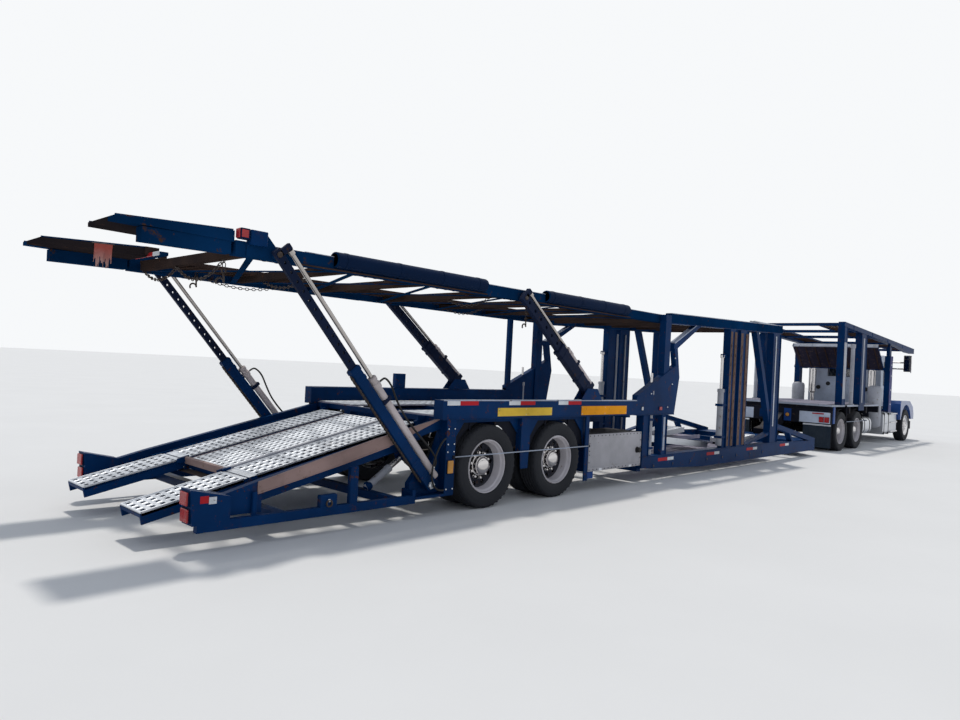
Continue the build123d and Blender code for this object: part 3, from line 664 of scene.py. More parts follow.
def bothSides(piece, name, body, slot=None, *standsFor):
    # the right piece as drawn, and its mirror copy on the left
    piece = joined(piece)
    left = copied(piece, acrossMirror)
    put(piece, name + "Right", body, slot, *standsFor)
    put(left, name + "Left", body, slot, *standsFor)


# Wheels, drawn about Z with the outer face at 0 and the inner side above
wheelPlan = {
    "tyreRadius": 0.465, "tyreWide": 0.255, "twinGap": 0.035, "steps": 48,
    "grooves": (0.058, 0.102, 0.146, 0.190), "grooveWide": 0.007, "grooveDeep": 0.013,
    "handHoles": 10, "holeRing": 0.212, "holeRadius": 0.026, "nuts": 10, "nutRing": 0.142,
}


def drawTyre(plan):
    top, wide = plan["tyreRadius"], plan["tyreWide"]
    wall = [(0.3005, 0.030), (0.306, 0.016), (0.322, 0.009), (0.350, 0.004), (0.380, 0.001), (0.405, 0.0),
            (0.424, 0.004), (0.436, 0.003), (0.447, 0.010), (top - 0.008, 0.021), (top - 0.002, 0.030)]
    tread = []
    for groove in plan["grooves"]:
        tread += [(top, groove), (top - plan["grooveDeep"], groove + 0.001),
                  (top - plan["grooveDeep"], groove + plan["grooveWide"] - 0.001), (top, groove + plan["grooveWide"])]
    far = [(radius, wide - depth) for radius, depth in reversed(wall)]
    return turned(tyreRubber, wall + tread + far, plan["steps"], 40)


def treadBars(plan):
    # shallow cross bars at both shoulders
    tread = localBar(tyreRubber, (-0.006, 0.0065), (-0.011, 0.011), (-0.014, 0.014), 0.002)
    turns = [Matrix.Rotation(2 * pi * number / 40, 4, "Z") for number in range(40)]
    return strewn(tread, [turn @ Matrix.Translation((plan["tyreRadius"] - 0.0130, 0, depth))
                          for turn in turns for depth in (0.022, plan["tyreWide"] - 0.022)])


def ringed(count, radius, height, turn=0.0):
    # places round the wheel
    angles = [2 * pi * (number + turn) / count for number in range(count)]
    return [Matrix.Translation((radius * cos(angle), radius * sin(angle), height)) for angle in angles]


def handHoles(plan):
    radius = plan["holeRadius"]
    hole = turned(alloy, [(0.0, -0.1), (radius, -0.1), (radius, 0.1), (0.0, 0.1)], 16)
    return strewn(hole, ringed(plan["handHoles"], plan["holeRing"], 0, 0.5))


def nutsAt(plan, depth, tall):
    nut = turned(chrome, [
        (0.0, 0.0), (0.010, 0.0), (0.017, 0.006), (0.019, 0.012), (0.019, tall), (0.023, tall + 0.004),
        (0.023, tall + 0.008), (0.0, tall + 0.008)], 8, 30)
    return strewn(nut, ringed(plan["nuts"], plan["nutRing"], depth))


def drawDeepRim(plan):
    # outer wheel of a twin: a deep dish
    dish = turned(rimPale, [
        (0.2995, 0.030), (0.2995, 0.020), (0.294, 0.014), (0.286, 0.015), (0.283, 0.024), (0.281, 0.040),
        (0.276, 0.052), (0.266, 0.062), (0.262, 0.085), (0.259, 0.130), (0.252, 0.152), (0.252, 0.186), (0.272, 0.200),
        (0.281, 0.225), (0.292, 0.235), (0.292, 0.060)], plan["steps"], 30)
    disc = turned(rimDark, [
        (0.2525, 0.151), (0.236, 0.166), (0.200, 0.170), (0.178, 0.160), (0.165, 0.152), (0.096, 0.150), (0.096, 0.162),
        (0.165, 0.165), (0.178, 0.173), (0.200, 0.184), (0.2525, 0.185)], plan["steps"], 30)
    cutBy(disc, moved(handHoles(plan), Matrix.Translation((0, 0, 0.17))))
    centre = turned(axlePaint, [
        (0.0, 0.140), (0.110, 0.140), (0.160, 0.1495), (0.160, 0.152), (0.0, 0.152)], 32)
    cap = turned(chrome, [
        (0.0, 0.040), (0.030, 0.041), (0.058, 0.048), (0.080, 0.060), (0.093, 0.077), (0.098, 0.092),
        (0.105, 0.094), (0.107, 0.100), (0.107, 0.136), (0.118, 0.139), (0.118, 0.145), (0.0, 0.145)], 32, 30)
    inner = turned(alloy, [
        (0.270, 0.230), (0.276, 0.235), (0.276, 0.500), (0.2995, 0.512), (0.2995, 0.522), (0.290, 0.528),
        (0.284, 0.515), (0.262, 0.490), (0.258, 0.400), (0.250, 0.385), (0.100, 0.385), (0.100, 0.370),
        (0.248, 0.370), (0.262, 0.350)], 32, 30)
    back = turned(axlePaint, [
        (0.0, 0.39), (0.19, 0.39), (0.205, 0.40), (0.205, 0.54), (0.0, 0.54)], 24)
    return joined([dish, disc, centre, cap, inner, back, nutsAt(plan, 0.118, 0.024)])


def drawSteerRim(plan):
    dish = turned(alloy, [
        (0.2995, 0.030), (0.2995, 0.020), (0.294, 0.014), (0.286, 0.016), (0.283, 0.030), (0.276, 0.050),
        (0.262, 0.066), (0.246, 0.074), (0.230, 0.066), (0.190, 0.052), (0.165, 0.048), (0.100, 0.046),
        (0.100, 0.058), (0.165, 0.060), (0.190, 0.064), (0.232, 0.082), (0.262, 0.100), (0.276, 0.130),
        (0.276, 0.215), (0.296, 0.230), (0.296, 0.060)], plan["steps"], 30)
    cutBy(dish, moved(handHoles(plan), Matrix.Translation((0, 0, 0.06))))
    cap = turned(chrome, [
        (0.0, 0.0145), (0.040, 0.016), (0.070, 0.021), (0.086, 0.030), (0.090, 0.040), (0.104, 0.043),
        (0.104, 0.050), (0.0, 0.050)], 32, 30)
    back = turned(axlePaint, [(0.0, 0.10), (0.19, 0.10), (0.205, 0.11), (0.205, 0.22), (0.0, 0.22)], 24)
    return joined([dish, cap, back, nutsAt(plan, 0.022, 0.018)])


def stationOf(node):
    low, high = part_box(node)
    return (low.x + high.x) / 2 + originShift


def wheelPlace(x, side, turn):
    way = -1 if side == "right" else 1
    facing = quarter("X", way) @ Matrix.Rotation(turn, 4, "Z")
    return Matrix.Translation(at(x, way * outerY, wheelPlan["tyreRadius"])) @ facing


def addWheels(plan):
    tyre = joined([drawTyre(plan), treadBars(plan)])
    deepRim, steerRim = drawDeepRim(plan), drawSteerRim(plan)
    stepIn = plan["tyreWide"] + plan["twinGap"]
    twin = joined([copied(tyre, Matrix.Translation((0, 0, step))) for step in (0, stepIn)])
    for number, axle in enumerate(("t1", "t2", "d1", "d2")):
        x = stationOf(f"tyres_{axle}_right")
        for side in ("right", "left"):
            place = wheelPlace(x, side, 0.4 * number + 0.2)
            body = f"wheels_{axle}_{side}"
            put(copied(twin, place), f"twinTyres_{axle}_{side}", body, "tyre", f"tyres_{axle}_{side}")
            put(copied(deepRim, place), f"polishedRim_{axle}_{side}", body, "rim_metal", f"rims_{axle}_{side}")
    x = stationOf("tyre_steer_right")
    for side in ("right", "left"):
        place = wheelPlace(x, side, 0.3)
        body = f"steer_wheel_{side}"
        put(copied(tyre, place), f"steerTyre_{side}", body, "tyre", f"tyre_steer_{side}")
        put(copied(steerRim, place), f"polishedSteerRim_{side}", body, "rim_metal", f"rim_steer_{side}")
    removed(tyre, twin, deepRim, steerRim)


addWheels(wheelPlan)
print("stage: wheels")

# Ramp covers: pressed planks with open holes, laid on the two tracks
rampPlan = {
    "hinge": (-0.720, 0.930), "slope": 13.0, "trackY": (0.45, 0.87), "cell": 0.077, "columns": 4,
    "deckRun": (-1.905, -0.035), "tipRun": (-2.915, -2.030), "plainRuns": ((-1.982, -1.907), (-2.028, -1.999)),
}
rampPlace = Matrix.Translation(at(rampPlan["hinge"][0], 0, rampPlan["hinge"][1])) @ Matrix.Rotation(
    radians(-rampPlan["slope"]), 4, "Y")

# pressed sheets: rim between the holes, width and height of their lips, thickness
pressing = {
    "ramp": (0.015, 0.005, 0.0035, 0.005),
    "rampMiddle": (0.016, 0.004, 0.003, 0.004),
    "track": (0.030, 0.006, 0.004, 0.005),
    "overWheels": (0.028, 0.006, 0.004, 0.005),
    "stowed": (0.022, 0.005, 0.003, 0.005),
    "tractorDeck": (0.040, 0.006, 0.004, 0.005),
}


def pressedSheet(kind, material, x, y, z, columns, rows):
    # a sheet of cells, each with a raised lip round an open hole
    rim, lip, lipUp, thick = pressing[kind]
    middle = ((x[0] + x[1]) / 2, (y[0] + y[1]) / 2, z)
    piece = startFrom(bpy.ops.mesh.primitive_grid_add, x_subdivisions=rows, y_subdivisions=columns, size=1,
                      location=middle)
    piece.scale = (x[1] - x[0], y[1] - y[0], 1)
    bpy.ops.object.transform_apply(location=True, rotation=True, scale=True)
    editing()
    bpy.ops.mesh.select_mode(type="FACE")
    bpy.ops.mesh.select_all(action="SELECT")
    bpy.ops.mesh.inset(thickness=rim, use_individual=True)
    bpy.ops.mesh.inset(thickness=lip, depth=lipUp, use_individual=True)
    bpy.ops.mesh.delete(type="FACE")
    bpy.ops.object.mode_set(mode="OBJECT")
    change = piece.modifiers.new("wall", "SOLIDIFY")
    change.thickness = thick
    change.offset = -1
    bpy.ops.object.modifier_apply(modifier=change.name)
    return finishPiece(piece, material)


def addRampCovers(plan):
    low, high = plan["trackY"]
    for key, name, body in (("deckRun", "rampPlank", "ramp"), ("tipRun", "rampTipPlank", "ramp_tips")):
        run = plan[key]
        rows = round((run[1] - run[0]) / plan["cell"])
        parts = [pressedSheet(
            "ramp", galvanised, run, (-high + 0.012, -low - 0.012), 0.0085, plan["columns"], rows)]
        parts += [localBar(galvanised, run, y, (-0.024, 0.017), 0.002)
                  for y in ((-high, -high + 0.011), (-low - 0.011, -low))]
        parts += [localBar(galvanised, (x, x + 0.018), (-high, -low), (0.001, 0.014), 0.002)
                  for x in (run[0] - 0.006, run[1] - 0.012)]
        bothSides(moved(parts, rampPlace), name, body, "axle_dark")
    for number, (run, body) in enumerate(zip(plan["plainRuns"], ("ramp", "ramp_tips"))):
        patch = localBar(galvanised, run, (-high, -low), (0.001, 0.009), 0.002)
        pinX = run[1 - number] + (0.012, -0.012)[number]
        pins = rod(galvanised, (pinX, -high + 0.02, 0.004), (pinX, -low - 0.02, 0.004), 0.009)
        bothSides(moved([patch, pins], rampPlace), ("rampFold", "tipFold")[number], body)
    middle = pressedSheet("rampMiddle", galvanised, (-1.95, -0.10), (-0.383, 0.300), 0.024, 8, 24)
    # pale strip on its right, painted gap on its left
    walls = [localBar(finish, (-1.98, -0.10), y, z, 0.002) for finish, y, z in (
        (whitePaint, (-0.430, -0.385), (-0.012, 0.028)), (channelTan, (0.302, 0.314), (-0.012, 0.028)),
        (blueDeck, (0.316, 0.432), (0.002, 0.009)))]
    put(moved([middle, *walls], rampPlace), "rampMiddle", "ramp", "frame_blue")
    # folded edge and cross angle at the rear of the middle plate
    edge = localBar(channelTan, (-1.985, -1.952), (-0.437, 0.437), (-0.045, 0.027))
    rear = localBar(rustyTreads, (-2.02, -1.94), (-1.06, 1.06), (-0.118, -0.1115), 0.002)
    put(moved([edge, rear], rampPlace), "rampMiddleEdge", "ramp")


# Lamp boxes at the ends of the low tail rails
lampPlan = {"lampZ": (0.300, 0.432), "y": (-1.268, -1.132)}


def roundLamp(radius, deep, axis, glassKind):
    # a bezel and a domed lens that look along axis
    bezel = turned(guardBlack, [
        (0.0, -0.004), (radius + 0.008, -0.004), (radius + 0.008, deep * 0.6), (radius, deep * 0.7),
        (0.0, deep * 0.5)], 24)
    dome = turned(glassKind, [
        (0.0, deep * 0.2), (radius, deep * 0.2), (radius, deep * 0.55), (radius * 0.8, deep * 0.85),
        (radius * 0.4, deep), (0.0, deep * 1.04)], 24)
    return moved([bezel, dome], Vector(axis).to_track_quat("Z", "Y").to_matrix().to_4x4())


def flatLamp(x, y, z, glassKind, deep=0.016, out=(0, -1, 0)):
    # a small rectangular lamp: a black base with a bevelled lens standing on it
    base = bar(guardBlack, x, y, z, 0.003)
    pairs = []
    for pair, way in zip((x, y, z), out):
        if way:
            outer = pair[0] if way < 0 else pair[1]
            pairs.append(tuple(sorted((outer, outer + way * deep))))
        else:
            pairs.append((pair[0] + 0.006, pair[1] - 0.006))
    return joined([base, bar(glassKind, *pairs, 0.005)])


def tape(material, x, z, y=(-1.2925, -1.2895)):
    return bar(material, x, y, z, 0.0005)


def addTailLamps(plan):
    parts = []
    for z in plan["lampZ"]:
        x = -3.345 - (z - 0.225) * 0.0714
        parts.append(flatLamp((x - 0.006, x + 0.02), plan["y"], (z - 0.058, z + 0.058), redLens, 0.016, (-1, 0, 0)))
    bothSides(parts, "tailLamps", "trailer", "deck_rust")
    tapes = [tape(tapeRed, (-3.285, -3.215), (0.395, 0.452), (-1.2925, -1.2885)),
             tape(tapeWhite, (-3.213, -3.150), (0.385, 0.440), (-1.2925, -1.2885))]
    bothSides(tapes, "tailTape", "trailer")
    # tan channel over the right slope plate, as one fitted piece
    channel = plate(channelTan, [
        (-2.745, 0.405), (-2.745, 0.508), (-1.54, 0.817), (-0.672, 1.006), (-0.672, 0.992), (-1.35, 0.735),
        (-1.90, 0.595), (-2.30, 0.500)], (-1.195, -1.187), 0.002)
    lip = plate(channelTan, [
        (-2.745, 0.497), (-2.745, 0.509), (-1.54, 0.819), (-0.672, 1.008), (-0.672, 0.996), (-1.54, 0.806)],
        (-1.201, -1.187), 0.002)
    lower = plate(channelTan, [
        (-2.745, 0.403), (-2.745, 0.415), (-2.30, 0.511), (-1.90, 0.606), (-1.35, 0.746), (-1.35, 0.734),
        (-1.90, 0.594)], (-1.201, -1.187), 0.002)
    put([channel, lip, lower], "loadChannel", "trailer", "barrel_tan")
    # small things on the low rail
    ring = turned(chainSteel, [(0.022, -0.006), (0.034, -0.006), (0.034, 0.006), (0.022, 0.006)], 20)
    shackle = [
        bar(navy, (-2.18, -2.00), (-1.288, -1.232), (0.238, 0.352), 0.006),
        bolt(-2.09, 0.30, (-1.302, -1.22), 0.014, 12),
        placed(ring, -2.09, -1.296, 0.275, quarter("X"))]
    bothSides(shackle, "railShackle", "trailer")
    posts = [bar(navy, (-1.86, -1.77), (-1.286, -1.234), (0.236, 0.585), 0.006),
             bar(navy, (-2.80, -2.76), (-1.225, -1.188), (0.17, 0.43))]
    bothSides(posts, "tailPosts", "trailer")


# Side beams over the wheels, with cover plates on the side face
coverY = (-1.2965, -1.2885)
beamPlan = {
    "tapes": ((-0.68, -0.49, -0.21), (0.30, 0.50, 0.77), (1.23, 1.43, 1.71)), "tapeZ": (1.146, 1.192),
    "yellow": ((0.11, 1.10), (1.020, 1.115)), "amber": ((1.72, 2.80), (1.012, 1.128)),
    "cap": (-0.735, 3.065), "axles": (1.27, 0.0), "archRadius": 0.50,
}


def archOutline(plan):
    points = [(-0.54, 0.60), (-0.54, 0.90), (-0.45, 0.998), (1.85, 0.998), (1.945, 0.90), (1.945, 0.60)]
    radius = plan["archRadius"]
    for centre in plan["axles"]:
        for number in range(13):
            angle = radians(20 + 140 * number / 12)
            points.append((centre + radius * cos(angle), wheelPlan["tyreRadius"] + radius * sin(angle)))
    return points


def addSideBeams(plan):
    tapes = []
    for start, change, end in plan["tapes"]:
        tapes += [tape(tapeWhite, (start, change - 0.002), plan["tapeZ"]), tape(tapeRed, (change, end), plan["tapeZ"])]
    bothSides(tapes, "beamTape", "trailer")
    # pale strips on the beam's top edge: painted highlight
    caps = [bar(finish, plan["cap"], y, z, 0.002) for finish, y, z in (
        (paintedHighlightEdge, (-1.291, -1.238), (1.1985, 1.2065)), (paintedHighlightEdge, (-1.2945, -1.2885), (1.1925, 1.2065)),
        (navy, (-1.2975, -1.236), (0.992, 1.001)))]
    bothSides(caps, "beamCap", "trailer", "frame_blue")
    panels = []
    for key, finish in (("yellow", yellowPanel), ("amber", amberPanel)):
        x, z = plan[key]
        panels.append(bar(finish, x, (-1.2950, -1.2890), z, 0.0015))
        panels += [bolt(x0, z0, (-1.298, -1.292), 0.005, 8)
                   for x0 in (x[0] + 0.02, sum(x) / 2, x[1] - 0.02) for z0 in (z[0] + 0.016, z[1] - 0.016)]
    bothSides(panels, "beamPanels", "trailer")


def addArches(plan):
    # dark plate close behind the arch frame: painted shade where the wheel well lies in shadow
    arch = plate(chassis, archOutline(plan), (-1.208, -1.196), 0.0015)
    frameOutline = [(-0.538, 0.60), (-0.538, 0.998), (1.945, 0.998), (1.945, 0.60)]
    for centre in plan["axles"]:
        frameOutline += [(centre + x, z) for x, z in (
            (0.60, 0.60), (0.56, 0.79), (0.40, 0.955), (-0.36, 0.955), (-0.50, 0.77), (-0.52, 0.60))]
    surround = plate(navy, frameOutline, (-1.232, -1.218), 0.002)
    ribs = [bar(chassis, (x - 0.012, x + 0.012), (-1.219, -1.205), (0.86, 0.998), 0.003)
            for x in (-0.25, 0.16, 1.08, 1.55)]
    bothSides([arch, surround, *ribs], "archPlate", "trailer", "chassis_black")
    # the thin rod is pale: painted highlight
    guard = [rod(paintedHighlightEdge, at(-0.555, -1.3035, 0.602), at(1.93, -1.3035, 0.606), 0.0065, 10),
             bar(chassis, (-0.575, -0.545), (-1.312, -1.286), (0.585, 0.62)),
             bar(chassis, (1.905, 1.932), (-1.312, -1.270), (0.59, 0.62))]
    bothSides(guard, "wheelRod", "trailer")
    # short wall plates behind the corner posts, with the amber side lamp
    corner = [
        bar(navy, (-0.672, -0.536), coverY, (0.205, 0.995), 0.003),
        bar(navy, (-1.055, -0.665), coverY, (0.200, 0.228), 0.003),
        flatLamp((-0.655, -0.565), (-1.304, -1.296), (0.43, 0.575), amberLens, 0.014)]
    corner += [bolt(x, z, (-1.306, -1.296), 0.009) for z in (0.27, 0.66, 0.74, 0.90) for x in (-0.65, -0.56)]
    bothSides(corner, "cornerWall", "trailer", "frame_blue")
    flap = plate(navy, [(0.56, 0.40), (0.54, 0.62), (0.70, 0.62), (0.69, 0.40)], (-1.286, -1.276), 0.002)
    bothSides(flap, "midFlap", "trailer")


# Toolbox face
boxPlan = {"x": (1.93, 3.246), "z": (0.262, 0.752), "face": -1.282, "rivets": 15, "knob": (3.135, 0.495)}


def addToolboxFace(plan):
    (x0, x1), (z0, z1), y = plan["x"], plan["z"], plan["face"]
    sheet = block((x0 + 0.005, x1 - 0.005), (y - 0.006, y), (z0 + 0.005, z1 - 0.005))
    choose(sheet, "faces", lambda face: face.normal.y < -0.9)
    insets((0.035, 0), (0.006, -0.004), (0.012, 0), (0.005, 0.003))
    parts = [finishPiece(sheet, boxPanel)]
    stud = turned(trim, [(0.0, 0.0), (0.009, 0.0), (0.0085, 0.003), (0.005, 0.0055), (0.0, 0.006)], 10)
    spots = []
    for number in range(plan["rivets"]):
        x = x0 + 0.03 + (x1 - x0 - 0.06) * number / (plan["rivets"] - 1)
        spots += [(x, z0 + 0.022), (x, z1 - 0.022)]
    for z in (z0 + 0.12, z0 + 0.22, z1 - 0.22, z1 - 0.12):
        spots += [(x0 + 0.022, z), (x1 - 0.022, z)]
    parts.append(strewn(stud, [Matrix.Translation(at(x, y - 0.0055, z)) @ quarter("X") for x, z in spots]))
    latch = turned(hoseRubber, [
        (0.0, 0.0), (0.044, 0.0), (0.044, 0.008), (0.028, 0.012), (0.028, 0.028), (0.038, 0.034), (0.036, 0.052),
        (0.0, 0.055)], 24)
    parts.append(placed(latch, plan["knob"][0], y - 0.005, plan["knob"][1], quarter("X")))
    parts += [bar(galvanised, (x, x + 0.07), (y - 0.014, y - 0.005), (z0 + 0.002, z0 + 0.032), 0.003)
              for x in (x0 + 0.25, x1 - 0.32)]
    put(parts, "boxFace", "toolbox_door", "box_grey")
    supports = bars(
        navy, 0.003, ((1.965, 1.995), (-1.262, -0.71), (0.248, 0.264)), ((3.12, 3.16), (-1.262, -0.71), (0.248, 0.264)),
        ((1.9445, 1.9575), (-1.262, -0.705), (0.258, 0.757)))
    under = [bar(wingBlue, (1.94, 2.10), (-1.259, -1.248), (0.165, 0.262)), *supports,
             bar(navy, (1.845, 1.925), (-1.290, -1.268), (0.150, 0.995))]
    put(under, "boxUnder", "trailer")


# Telescopic lift arms with their cylinders
wall, slide, rodRadius = 0.008, 0.006, 0.020


def around(half, out=0.0):
    # the pair from one side of the middle to the other, further out by a little if asked
    return (-half - out, half + out)


def addArm(key, setup):
    place, long = armPlace(setup)
    half, offset, tubeFinish = setup["deep"] / 2, setup["offset"], setup["finish"]
    wideHalf = (setup["y"][1] - setup["y"][0]) / 2
    low, high = setup["tube"]
    lowBody, topBody = setup["bodies"]
    # outer tube with collar bands and foot plates
    parts = [localBar(tubeFinish, around(half), around(wideHalf), (low, high), 0.006)]
    for z in (high - 0.055, high - 0.16, 0.30, low + 0.16):
        parts.append(localBar(
            tubeFinish, (-half - 0.006, half + 0.004), around(wideHalf, 0.004), (z, z + 0.045), 0.003))
    for part in parts:
        # hollow, so that the inner tube slides down it
        cutBy(part, localBar(tubeFinish, around(half, -wall), around(wideHalf, -wall), (0.10, high + 0.1), 0))
    parts += [
        localBar(tubeFinish, (half - 0.01, offset + 0.03), around(wideHalf, -0.009), (0.0, 0.075), 0.006),
        rod(galvanised, (0, -wideHalf - 0.005, 0), (0, wideHalf, 0), 0.030, 20),
        rod(galvanised, (0, -wideHalf - 0.009, 0), (0, -wideHalf - 0.003, 0), 0.042, 6)]
    bothSides(moved(parts, place), key + "ArmTube", lowBody, "frame_blue" if key == "tail" else "arm_dark",
              key + "_arm_tubes")
    # cylinder barrel with its gland, cap and ports
    b, top = setup["barrel"], setup["barrelLong"]
    barrel = turned(barrelTan, [
        (0.0, 0.0), (b * 0.7, 0.0), (b, 0.012), (b, 0.05), (b * 0.93, 0.056), (b * 0.93, top - 0.13),
        (b * 1.16, top - 0.125), (b * 1.16, top - 0.075), (b * 0.96, top - 0.07), (b * 0.96, top - 0.045),
        (b * 1.12, top - 0.04), (b * 1.12, top - 0.008), (b * 0.9, top), (rodRadius + 0.002, top),
        (rodRadius + 0.002, 0.06), (0.0, 0.06)], 28)
    moved(barrel, Matrix.Translation((offset, 0, 0)))
    fittings = [rod(galvanised, (offset + b * 0.86, 0, z), (offset + b * 1.35, 0, z), b * 0.28, 10)
                for z in (0.09, top - 0.10)]
    clamp = localBar(
        armBlack, (half - 0.004, offset + b * 1.2), around(b * 1.18), (top - 0.30, top - 0.262))
    cutBy(clamp, rod(armBlack, (offset, 0, top - 0.4), (offset, 0, top - 0.2), b * 0.88, 28))
    bothSides(moved([barrel, clamp, *fittings], place), key + "Barrel", lowBody, "barrel_tan")
    # inner tube with its row of holes, and the head lug
    innerWide, innerDeep = wideHalf - wall - slide, half - wall - slide
    inner = localBar(armBlack, around(innerDeep), around(innerWide), (setup["inner"], long + 0.05))
    start = high + 0.08
    step = (long - 0.08 - start) / (setup["holes"] - 1)
    hole = rod(armBlack, (0, -0.2, 0), (0, 0.2, 0), innerDeep * 0.36, 14, 0.01)
    cutBy(inner, strewn(hole, [Matrix.Translation((0, 0, start + step * n)) for n in range(setup["holes"])]))
    lug = localBar(armBlack, (-0.03, offset + 0.03), around(innerWide), (long - 0.03, long + 0.03), 0.006)
    eye = rod(chainSteel, (0, -innerWide - 0.012, long), (0, innerWide, long), 0.026, 18)
    bothSides(moved([inner, lug, eye], place), key + "ArmInner", topBody, "arm_dark", key + "_arm_inners")
    shaft = turned(rodSteel, [
        (0.0, setup["inner"] - 0.02), (rodRadius, setup["inner"] - 0.02), (rodRadius, long - 0.075),
        (rodRadius * 1.5, long - 0.07), (rodRadius * 1.5, long - 0.032), (0.0, long - 0.028)], 24)
    moved(shaft, Matrix.Translation((offset, 0, 0)))
    bothSides(moved(shaft, place), key + "Rod", topBody, "rod_chrome")


def chainLink():
    # a flat link of the roller chain, along Z
    link = startFrom(bpy.ops.mesh.primitive_cube_add, size=1, scale=(0.016, 0.004, 0.030))
    bpy.ops.object.transform_apply(location=True, rotation=True, scale=True)
    editing()
    roundEdges(link, 1, 0.003, 0.0065, 2)
    return finishPiece(link, chainSteel)


def addArmChain(setup):
    # the roller chain along the rear edge of the tail arm
    place = armPlace(setup)[0]
    x, pitch = -setup["deep"] / 2 - 0.012, 0.0225
    spots = []
    for number in range(62):
        y = 0.006 if number % 2 else 0.012
        spots += [Matrix.Translation((x, side * y, 0.12 + number * pitch)) for side in (-1, 1)]
    chain = strewn(chainLink(), spots)
    pins = strewn(rod(chainSteel, (0, -0.015, 0), (0, 0.015, 0), 0.004, 8), [
        Matrix.Translation((x, 0, 0.109 + number * pitch)) for number in range(63)])
    bothSides(moved([chain, pins], place), "armChain", "tail_arms", "arm_dark")


# Cylinders that lift the ramp, smooth and with glands
def addRampLifts():
    place, long = tiltedPlace(at(-1.280, -0.8, 0.286), at(-0.850, -0.8, 0.560))
    barrel = turned(whitePaint, [
        (0.0, -0.036), (0.036, -0.036), (0.036, 0.02), (0.038, 0.03), (0.038, 0.27), (0.044, 0.274),
        (0.044, 0.318), (0.034, 0.328), (0.020, 0.330), (0.0, 0.330)], 28)
    eye = rod(navy, (0, -0.041, 0), (0, 0.041, 0), 0.0415, 20)
    bothSides(moved([barrel, eye], place), "rampBarrel", "ramp_cylinders", "barrel_tan", "ramp_lift_barrels")
    shaft = turned(alloy, [(0.0, 0.12), (0.028, 0.12), (0.028, long - 0.03), (0.026, long - 0.025), (0.0, long)], 20)
    top = rod(navy, (0, -0.0445, long), (0, 0.030, long), 0.0305, 20)
    bothSides(moved([shaft, top], place), "rampRod", "ramp_cylinder_rods", "rod_chrome", "ramp_lift_rods")


addRampCovers(rampPlan)
addRampLifts()
addTailLamps(lampPlan)
print("stage: ramp and tail lamps")
addSideBeams(beamPlan)
addArches(beamPlan)
addToolboxFace(boxPlan)
print("stage: side beams and toolbox")
for key, setup in armPlan.items():
    addArm(key, setup)
addArmChain(armPlan["tail"])
print("stage: lift arms")


# Upper deck
deckPlan = {
    "guards": ((-2.10, -0.10), (1.00, 2.85)), "guardY": -1.185, "guardZ": 2.470, "guardRadius": 0.0745,
    "slats": {"tail": (-2.86, 3.84, 0.13), "y": (0.562, 1.033), "z": 2.4535},
    "braces": ((-2.85, -1.92), (-1.80, -0.92), (-0.80, 0.22), (0.36, 1.28), (1.40, 2.28), (2.40, 3.28)),
}


def tailGuard(x):
    # a rubber-faced round guard with capped ends and straps
    start, long, r = x[0], x[1] - x[0], deckPlan["guardRadius"]
    parts = [turned(guardBlack, [
        (0.0, 0.0), (r * 0.8, 0.0), (r, 0.010), (r, long - 0.010), (r * 0.8, long), (0.0, long)], 28)]
    for z in (0.10, long * 0.37, long * 0.66, long - 0.14):
        parts.append(turned(guardBlack, [
            (r - 0.004, z), (r + 0.003, z), (r + 0.003, z + 0.035), (r - 0.004, z + 0.035)], 28))
    return placed(parts, start, deckPlan["guardY"], deckPlan["guardZ"], quarter("Y"))


def upperZ(x):
    return 2.375 + 0.150 * (x - 3.93) / (8.42 - 3.93)


def addTailDeckDetails(plan):
    for number, x in enumerate(plan["guards"]):
        bothSides(tailGuard(x), f"deckGuard{number}", "tail_deck", "deck_rust")
    flanges = [bar(rustyTreads, x, (-1.198, -1.176), (2.374, 2.386), 0.002) for x in ((-2.45, -0.05), (0.72, 2.95))]
    # pale strip on the deck's top edge: painted highlight
    flanges.append(bar(paintedHighlightEdge, (-2.40, 3.90), (-1.1825, -1.160), (2.4945, 2.501), 0.002))
    bothSides(flanges, "deckFlanges", "tail_deck", "deck_rust")
    # slats under the runways
    start, end, step = plan["slats"]["tail"]
    low, high = plan["slats"]["y"]
    slat = localBar(rustyTreads, (0, 0.030), (-high, -low), (-0.010, 0.008), 0.002)
    count = int((end - start) / step)
    run = strewn(slat, [Matrix.Translation(at(start + step * n, 0, plan["slats"]["z"])) for n in range(count)])
    edges = [bar(rustyTreads, (-2.955, 3.865), y, (2.448, 2.486), 0.002)
             for y in ((-high - 0.006, -high + 0.004), (-low - 0.004, -low + 0.006))]
    bothSides([run, *edges], "runwaySlats", "tail_deck", "deck_rust")
    # crossed flats between the cross members
    flats = []
    for rear, front in plan["braces"]:
        for way in (-1, 1):
            a, b = at(rear, -1.05 * way, 2.385), at(front, 1.05 * way, 2.385)
            along = (b - a).length
            strap = localBar(blueDeck, (-0.03, 0.03), (-0.004, 0.004), (0, along), 0.002)
            up = (b - a).normalized()
            side = Vector((0, 0, 1)).cross(up)
            turn = Matrix((side, Vector((0, 0, 1)), up)).transposed().to_4x4()
            lift = 0.0 if way > 0 else 0.0085
            flats.append(moved(strap, Matrix.Translation(a + Vector((0, 0, lift))) @ turn))
    put(flats, "deckBraces", "tail_deck", "deck_rust")


def hangLine(a, b, sag, count):
    # points on a line that sags between a and b
    points = []
    for number in range(count + 1):
        t = number / count
        point = a.lerp(b, t)
        point.z -= sag * 4 * t * (1 - t)
        points.append(point)
    return points


